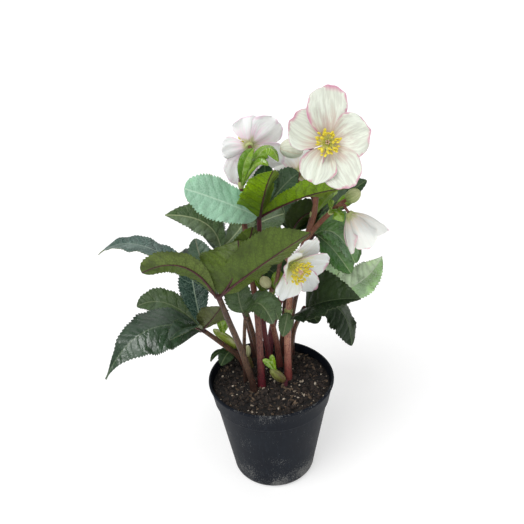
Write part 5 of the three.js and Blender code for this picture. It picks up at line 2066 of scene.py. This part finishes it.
@dataclass(frozen=True)
class Soil:
    """The potting mix: its level at the wall, how far it domes, and what is strewn over it; in millimetres."""

    level: float = 107
    dome: float = 1.5
    bottom: float = 84
    radius: float = 60.6
    bottom_share: float = 0.93  # of the radius
    rows: int = 66
    around: int = 380
    finish: PeatFinish = PeatFinish()
    litter: tuple[Litter, ...] = (
        Litter("peat_crumbs", 700, (0.9, 3.8), (1, 0.8, 0.7), 3, PEAT),
        Litter("bark_scraps", 260, (0.6, 3.0), (1.5, 0.6, 0.4), 5, BARK),
        Litter("mineral_grains", 230, (0.35, 1.7), (1.2, 0.8, 0.8), 8, MINERAL),
    )

    LUMPS = ((1.2, 11), (1.2, 4.3), (1.1, 2.1), (0.45, 0.9))  # how high and how wide each kind is
    SETTLED, BARE_RIM = 0.3, 2

    def height(self, x: float, y: float) -> float:
        """Height of the crumbly surface at a point.

        Args:
            x: How far to the right.
            y: How far back.

        Returns:
            The height.
        """
        dome = self.dome * (1 - (math.hypot(x, y) / self.radius) ** 2)
        lumps = sum(high * noise.noise(Vector((x, y, 0)) / wide) for high, wide in self.LUMPS)
        return self.level - self.SETTLED + dome + lumps

    def build_bed(self) -> None:
        """The body of the mix, as one closed round cake."""
        rows = self.rows

        def place(u: float, v: float) -> Spot:
            """A point of the top, of the edge of the bottom or of the bottom's middle.

            Args:
                u: How far out, then down, from 0 to 1.
                v: How far round, from -1 to 1.

            Returns:
                The point and its UV.
            """
            row = round(u * rows)
            turn = -math.pi * v
            reach = self.radius * min(row, rows - 2) / (rows - 2) if row < rows else 0
            x, y = reach * math.cos(turn), reach * math.sin(turn)
            level = self.height(x, y) if row <= rows - 2 else self.bottom
            if row == rows - 1:
                x, y = x * self.bottom_share, y * self.bottom_share
            return Vector((x, y, level)), (u, (v + 1) / 2)

        bed = add_sheet(rows, self.around, place)
        point_outwards(bed, merge=0.0005)
        smooth_faces(bed, 70)
        dress(bed, self.finish.make("moist_peat"))
        settle(bed, "potting_mix", "soil", "soil")

    def build(self) -> None:
        """Builds the bed and what is strewn over it."""
        self.build_bed()
        for litter in self.litter:
            litter.build(self.radius - self.BARE_RIM, self.height)


# ---- the plant's own places

LEAVES = (
    Leaf(
        "leaf_front", LeafTone.FRONT, (-18, -15), ((-27, -24, 160), (-37, -36, 205)), (-44, -45, 237), 3.2,
        (
            Leaflet((-27, -50, 266), (-24, -38, 288), 68, (-0.1, 0.9, 0.35), rise=0.7, fall=0.5, tone=LeafTone.VIVID),
            Leaflet((-22, -34, 268), (-11, -29, 296), 28, (-0.1, 0.9, 0.35), tone=LeafTone.VIVID),
            Leaflet((-3, -60, 276), (37, -60, 302), 54, (-0.3, 0.93, 0.2), fold=34, fall=1, tone=LeafTone.VIVID),
            Leaflet((-70, -58, 275), (-107, -52, 268), 30, (0, 0.95, 0.3), fall=0.5, tone=LeafTone.VIVID),
            Leaflet(
                (-107, -18, 276), (-154, -8, 266), 33, (0, 0.05, 1), fold=10, fall=1, ruffle=1.8, tone=LeafTone.FROST
            ),
            Leaflet((-58, -22, 260), (-64, -8, 278), 23, (0.25, -0.6, 0.75)),
        ),
    ),
    Leaf(
        "leaf_low_left", LeafTone.LOW, (-25, 14), ((-32, 12, 130), (-49, 6, 153)), (-66, 0, 174), 2.9,
        (
            Leaflet((-116, -28, 194), (-155, -52, 158), 54, (-0.2, -0.55, 0.8), fold=-10, fall=1.5, ruffle=1.8),
            Leaflet((-102, 24, 192), (-134, 26, 189), 32, (-0.1, -0.4, 0.9), ruffle=1.6, tone=LeafTone.SMALL),
            Leaflet((-74, 26, 204), (-77, 44, 226), 33, (0.1, -0.7, 0.6), tone=LeafTone.TEAL),
            Leaflet((-77, -32, 198), (-92, -48, 196), 22, (0, -0.4, 0.9), fold=34),
            Leaflet((-56, -13, 193), (-44, -24, 214), 32, (0.1, 0.7, 0.7), tone=LeafTone.OLIVE),
        ),
    ),
    Leaf(
        "leaf_top", LeafTone.TOP, (2, 8), ((-5, 10, 164), (-6, 5, 236)), (-5, 0, 293), 2.7,
        (
            Leaflet((1, -27, 328), (8, -44, 351), 46, (-0.45, 0.85, 0.1), fold=30, rise=0.4, fall=0.9),
            Leaflet((35, -26, 321), (69, -31, 328), 36, (-0.15, 0.8, 0.6), fold=24),
            Leaflet((-37, -25, 320), (-65, -43, 339), 39, (0.25, -0.8, 0.55), fold=8, rise=0.6, fall=0.45),
            Leaflet((1, 15, 317), (2, 15, 338), 25, (0, -0.9, 0.45), tone=LeafTone.DEEP),
            Leaflet((17, 16, 314), (33, 18, 327), 32, (-0.1, -0.6, 0.8), tone=LeafTone.DEEP),
        ),
        StemTone.BURGUNDY,
    ),
    Leaf(
        "leaf_back_left", LeafTone.BACK_LEFT, (-10, 25), ((-19, 30, 156), (-32, 34, 206)), (-43, 32, 247), 2.8,
        (
            Leaflet((-57, 22, 280), (-92, 12, 294), 31, (0.2, -0.7, 0.65), fall=0.9, ruffle=1.8),
            Leaflet((-24, 46, 263), (-14, 55, 278), 26, (0, -0.8, 0.6)),
            Leaflet((-12, 50, 262), (20, 60, 270), 44, (0, -0.5, 0.85), fall=0.5),
            Leaflet((-62, 60, 268), (-72, 86, 276), 34, (0, -0.2, 1)),
            Leaflet((-14, 30, 236), (24, 25, 206), 44, (0.1, -0.8, 0.6), fall=0.5, tone=LeafTone.BACK),
        ),
    ),
    Leaf(
        "leaf_low_right", LeafTone.LOW_RIGHT, (20, 17), ((22, 16, 138), (27, 12, 167)), (35, 5, 191), 2.3,
        (
            Leaflet((60, -16, 211), (86, -26, 217), 70, (-0.1, -0.4, 0.85), fold=30, rise=0.4, fall=1.1, ruffle=1.4),
            Leaflet((71, 12, 184), (84, 6, 143), 42, (0.5, -0.5, 0.7), fold=-12, ruffle=2),
            Leaflet((40, -8, 194), (47, -17, 187), 25, (0, -0.4, 0.9)),
        ),
    ),
    Leaf(
        "leaf_right", LeafTone.RIGHT, (21, 31), ((25, 32, 165), (35, 30, 215)), (46, 27, 260), 2.5,
        (
            Leaflet((67, 14, 266), (84, 3, 240), 34, (0.3, -0.45, 0.85), ruffle=1.8),
            Leaflet((64, 22, 248), (82, 12, 224), 34, (0.1, -0.6, 0.8), ruffle=1.8),
            Leaflet((72, 40, 262), (90, 30, 226), 38, (0.3, -0.7, 0.6)),
        ),
    ),
    Leaf(
        "leaf_back", LeafTone.BACK, (12, 42), ((18, 52, 165), (24, 60, 215)), (26, 62, 246), 2.6,
        (
            Leaflet((39, 56, 268), (59, 51, 276), 42, (0, 0.8, 0.6)),
            Leaflet((66, 72, 270), (106, 76, 296), 36, (0, -0.4, 0.9)),
            Leaflet((20, 100, 268), (20, 134, 272), 40, (0, -0.1, 1)),
        ),
    ),
    Leaf(
        "leaf_small_front", LeafTone.SMALL, (-27, 2), ((-26, -8, 150), (-24, -20, 184)), (-22, -28, 207), 2,
        (
            Leaflet((-9, -46, 229), (3, -52, 211), 30, (0.2, -0.5, 0.85), rise=0.7, ruffle=1.8),
            Leaflet((-27, -31, 229), (-26, -24, 246), 28, (-0.1, -0.7, 0.7), rise=0.8),
            Leaflet((-3, -19, 214), (9, -17, 193), 22, (0.1, -0.8, 0.6)),
        ),
    ),
    Leaf(
        "leaf_far_left", LeafTone.LOW, (-16, 42), ((-24, 52, 152), (-38, 66, 196)), (-52, 74, 222), 2.8,
        (
            Leaflet((-84, 88, 214), (-112, 96, 196), 38, (0, 0.1, 1)),
            Leaflet((-60, 108, 236), (-70, 142, 222), 38, (0, 0.2, 1)),
            Leaflet((-26, 100, 234), (-2, 122, 228), 36, (0, 0.2, 1)),
        ),
    ),
    Leaf(
        "leaf_far_right", LeafTone.PALE, (24, 42), ((28, 47, 140), (42, 50, 164)), (60, 48, 178), 2.6,
        (
            Leaflet((95, 31, 204), (112, 14, 240), 34, (-0.1, -0.75, 0.6), fold=8, fall=1, ruffle=2.2),
            Leaflet((92, 66, 190), (114, 78, 178), 38, (0.1, 0, 1)),
            Leaflet((66, 84, 194), (66, 120, 184), 38, (0, 0.1, 1)),
        ),
    ),
    Leaf(
        "leaf_seedling", LeafTone.BACK, (-31, 28), ((-32, 28, 116),), (-35, 28, 125), 1.4,
        (
            Leaflet((-44, 20, 131), (-52, 12, 121), 18, (0, -0.6, 0.8), small=True),
            Leaflet((-53, 22, 132), (-63, 16, 124), 7, (0, -0.2, 1), small=True),
        ),
    ),
)

BLOOMS = (
    Bloom(
        "bloom_front", (53, -34, 369), (-0.1, -0.92, 0.36),
        (
            Sepal(91, 43, 32, 20, 8, ruffle=1.1, end=0.86),
            Sepal(147, 33, 37, 12, 14, ruffle=1.3),
            Sepal(248, 32, 31, 12, 6),
            Sepal(298, 38, 33, 18, -6, ruffle=1.4, end=0.74),
            Sepal(16, 32, 37, 11, 10, ruffle=1.8),
        ),
        46, 11, 54,
    ),
    Bloom(
        "bloom_turned", (-11, 28, 352), (-0.1, 0.93, 0.3),
        (
            Sepal(94, 24, 32, 12, 10, ruffle=1.8),
            Sepal(148, 31, 38, 6, 10, ruffle=1.8),
            Sepal(217, 34, 34, -6, 8),
            Sepal(288, 40, 32, -8, 6),
            Sepal(340, 23, 27, 4, 8),
        ),
        26, 11, 44, SepalTone.BLUSH,
    ),
    Bloom(
        "bloom_nodding", (77, -6, 294), (0.52, -0.18, -0.83),
        (
            Sepal(90, 35, 27, 42, 34, end=0.82),
            Sepal(162, 35, 26, 46, 32, end=0.82),
            Sepal(234, 34, 26, 48, 30, end=0.82),
            Sepal(306, 35, 26, 46, 32, end=0.82),
            Sepal(18, 35, 28, 42, 32, end=0.82),
        ),
        18, 10, 10, SepalTone.NODDING,
    ),
    Bloom(
        "bloom_low", (22, -22, 255), (0.56, -0.78, -0.22),
        (
            Sepal(62, 31, 37, 6, 26, ruffle=2.2),
            Sepal(-8, 35, 34, 24, -6, ruffle=1.6),
            Sepal(142, 23, 30, 40, -16, ruffle=1.6),
            Sepal(238, 31, 28, 38, -30, ruffle=1.8),
            Sepal(308, 38, 21, 34, -26, ruffle=2.2),
        ),
        48, 17, 36, SepalTone.WHITE,
    ),
    Bloom(
        "bloom_hidden", (36, 40, 320), (0.35, 0.86, 0.3),
        (
            Sepal(54, 24, 26, 18, 6),
            Sepal(126, 24, 26, 14, 8),
            Sepal(198, 28, 26, 10, 8),
            Sepal(270, 30, 28, 10, 6),
            Sepal(342, 30, 28, 14, 8),
        ),
        26, 11, 40, SepalTone.NODDING,
    ),
)

BUDS = (
    Bud("bud_large", (36, 12, 352), (-0.9, -0.35, 0.15), 21, 9.5, SepalTone.CREAM_BUD),
    Bud("bud_green", (75, 1, 306), (0.65, -0.4, 0.6), 15, 6.4, SepalTone.GREEN_BUD),
    Bud("bud_low", (1, -4, 223), (-0.4, -0.35, 0.8), 14, 5.4, SepalTone.YELLOW_BUD),
)

STEMS = (
    FloweringStem(
        "stem_turned", StemTone.DARK_RED, (-10, -9), ((-11, -5, 190), (-16, 6, 245), (-20, 12, 300)), (-20, 14, 326),
        (4, 2.3), (Branch(1.7, ((-14, 12, 341),), "bloom_turned"),), 0, 0.975,
        (
            Leaflet((-16, 6, 342), (-7, 3, 356), 13, (0.1, -0.8, 0.5), fold=24, small=True),
            Leaflet((2, 3, 355), (14, -1, 345), 16, (0.3, -0.5, 0.8), fold=-24, small=True),
            Leaflet((-6, 2, 342), (5, -2, 342), 9, (0, -0.6, 0.8), fold=20, small=True),
        ),
    ),
    FloweringStem(
        "stem_main", StemTone.PINK, (18, 1), ((18, -1, 158), (21, -3, 206), (29, 5, 238)), (38, 10, 264), (3.9, 3),
        (
            Branch(2.2, ((46, 10, 288), (48, 6, 312), (51, -4, 342)), "bloom_front"),
            Branch(2.2, ((51, 8, 281),), end=(66, 2, 299)),
            Branch(1.6, (), "bud_green", start=(66, 2, 299)),
            Branch(1.2, ((69, -4, 303), (74, -6, 303)), "bloom_nodding", start=(66, 2, 299)),
        ),
        2, 0.84,
        (
            Leaflet((76, 10, 300), (88, 10, 308), 15, (-0.3, -0.6, 0.7), fold=30, small=True),
            Leaflet((60, -4, 301), (62, -9, 309), 12, (-0.6, -0.5, 0.6), fold=20, small=True),
            Leaflet((65, -7, 297), (70, -11, 290), 13, (0.2, -0.8, 0.5), fold=-20, small=True),
        ),
    ),
    FloweringStem(
        "stem_low", StemTone.ROSE, (10, 24), ((8, 20, 138), (3, 13, 177)), (4, 3, 217), (3.5, 2.4),
        (
            Branch(1.7, ((9, -3, 229),), "bloom_low"),
            Branch(1.5, (), "bud_low"),
        ),
        0, 0.95,
        (
            Leaflet((9, -4, 227), (13, -5, 239), 13, (0, 0.9, 0.4), fold=26, small=True),
            Leaflet((-7, -3, 223), (-12, -8, 236), 9, (0.5, -0.7, 0.5), fold=22, small=True),
        ),
    ),
    FloweringStem(
        "stem_hidden", StemTone.MAUVE, (-2, 36), ((8, 48, 160), (38, 43, 240)), (50, 37, 288), (4.2, 2.4),
        (
            Branch(1.8, ((44, 31, 304),), "bloom_hidden"),
            Branch(1.7, ((54, 28, 322),), "bud_large"),
        ),
        0, 0.95,
        (
            Leaflet((60, 42, 292), (72, 44, 297), 15, (0.1, -0.4, 0.9), fold=20, small=True),
            Leaflet((58, 28, 295), (66, 23, 306), 13, (-0.2, 0.8, 0.5), fold=20, small=True),
        ),
    ),
)

STEM_LEAVES = (
    StemLeaf("stem_main", 0.6, Leaflet((17, -12, 189), (13, -13, 171), 15, (-0.1, -0.9, 0.3), fold=10, small=True)),
)

SHOOTS = (
    Shoot(
        "shoot_left", StemTone.OLIVE, SepalTone.SHOOT_LEFT, (-20, 25), ((-25, 22, 126),), (-34, 16, 141), (2.6, 2.2),
        35, 5.2, (-0.67, -0.1, 0.74),
        (
            Leaflet((-48, 10, 175), (-51, 8, 186), 10, (0, -0.9, 0.3), small=True),
            Leaflet((-44, 11, 174), (-41, 9, 184), 9, (0, -0.9, 0.3), small=True),
        ),
    ),
    Shoot(
        "shoot_middle", StemTone.OLIVE, SepalTone.SHOOT_MIDDLE, (-22, -1), ((-23, 1, 126),), (-23, 1, 141), (1.8, 1.4),
        14, 3.2, (0.05, -0.1, 1),
    ),
    Shoot(
        "shoot_right", StemTone.MAUVE, SepalTone.SHOOT_RIGHT, (14, -8), ((14, -8, 111),), (14, -8, 114), (3.4, 3), 24,
        5, (-0.6, -0.2, 0.78),
        (
            Leaflet((-2, -13, 139), (-8, -14, 144), 7, (0, -0.7, 0.6), small=True),
            Leaflet((2, -12, 141), (2, -12, 149), 6, (0, -0.8, 0.5), small=True),
        ),
    ),
)


# ---- studio


@dataclass(frozen=True)
class Lamp:
    """A wide soft white lamp far away: the way that it stands from the plant, its strength and its width in degrees."""

    name: str
    towards: Triple
    strength: float
    width: float

    def build(self) -> None:
        """Hangs the lamp."""
        light = bpy.data.lights.new(self.name, "SUN")
        light.energy, light.angle = self.strength, math.radians(self.width)
        lamp = bpy.data.objects.new(self.name, light)
        lamp.location = vec(self.towards).normalized() * 2
        lamp.rotation_euler = (-vec(self.towards)).to_track_quat("-Z", "Y").to_euler()
        bpy.context.collection.objects.link(lamp)


@dataclass(frozen=True)
class Studio:
    """A pale floor, soft light and a camera that looks down on the plant."""

    camera_place: Triple = (-0.0042, -0.528, 0.5149)
    camera_turn: Triple = (63.0765, 2.3007, -1.1679)
    focal_length: float = 43.08
    sensor: float = 36
    floor_size: float = 30
    world_strength: float = 0.32
    lamps: tuple[Lamp, ...] = (
        Lamp("key_lamp", (-0.55, -0.6, 1.2), 1.95, 40),
        Lamp("fill_lamp", (0.9, -0.35, 0.8), 0.3, 60),
        Lamp("front_lamp", (0.0, -1, 0.25), 0.7, 60),
        Lamp("back_lamp", (0.1, 0.8, 0.9), 0.45, 60),
    )

    def build(self) -> None:
        """Builds the studio."""
        deselect_all()
        bpy.ops.mesh.primitive_grid_add(x_subdivisions=8, y_subdivisions=8, size=self.floor_size)
        floor = bpy.context.object
        floor.name = "studio_floor"
        material, tree = new_material("studio_paint", 0.9, Specular_IOR_Level=0.1)
        grain = tree.noise(tree.place(), 3, 2)
        tree.set("Base Color", tree.mix(grain, (0.63, 0.63, 0.63), (0.65, 0.65, 0.65)))
        tree.set("Emission Color", (1, 1, 1))
        tree.set("Emission Strength", 0.45)
        dress(floor, material)
        floor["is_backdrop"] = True
        world = bpy.data.worlds.new("soft_daylight")
        world.use_nodes = True
        background = world.node_tree.nodes["Background"]
        background.inputs["Color"].default_value = (1, 1, 1, 1)
        background.inputs["Strength"].default_value = self.world_strength
        bpy.context.scene.world = world
        for lamp in self.lamps:
            lamp.build()
        data = bpy.data.cameras.new("camera")
        data.lens, data.sensor_width = self.focal_length, self.sensor
        camera = bpy.data.objects.new("camera", data)
        camera.location = self.camera_place
        camera.rotation_euler = tuple(math.radians(a) for a in self.camera_turn)
        bpy.context.collection.objects.link(camera)
        bpy.context.scene.camera = camera
        bpy.context.scene.view_settings.view_transform = "Standard"


def write_sizes() -> None:
    """Makes plain lists of the box of the solids and the box of the finished plant, and keeps neither."""
    plain = [[[float(x) for x in corner] for corner in box] for box in (cad_box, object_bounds())]


def main() -> None:
    """Builds the studio, the pot, the soil and the plant."""
    logging.basicConfig(level=logging.INFO, format="%(message)s")
    Studio().build()
    palette = Palette()
    Pot().build(palette)
    Soil().build()
    for part in (*LEAVES, *STEMS, *BLOOMS, *BUDS, *SHOOTS, *STEM_LEAVES):
        part.build(palette)
    deselect_all()
    write_sizes()


if __name__ == "__main__":
    main()
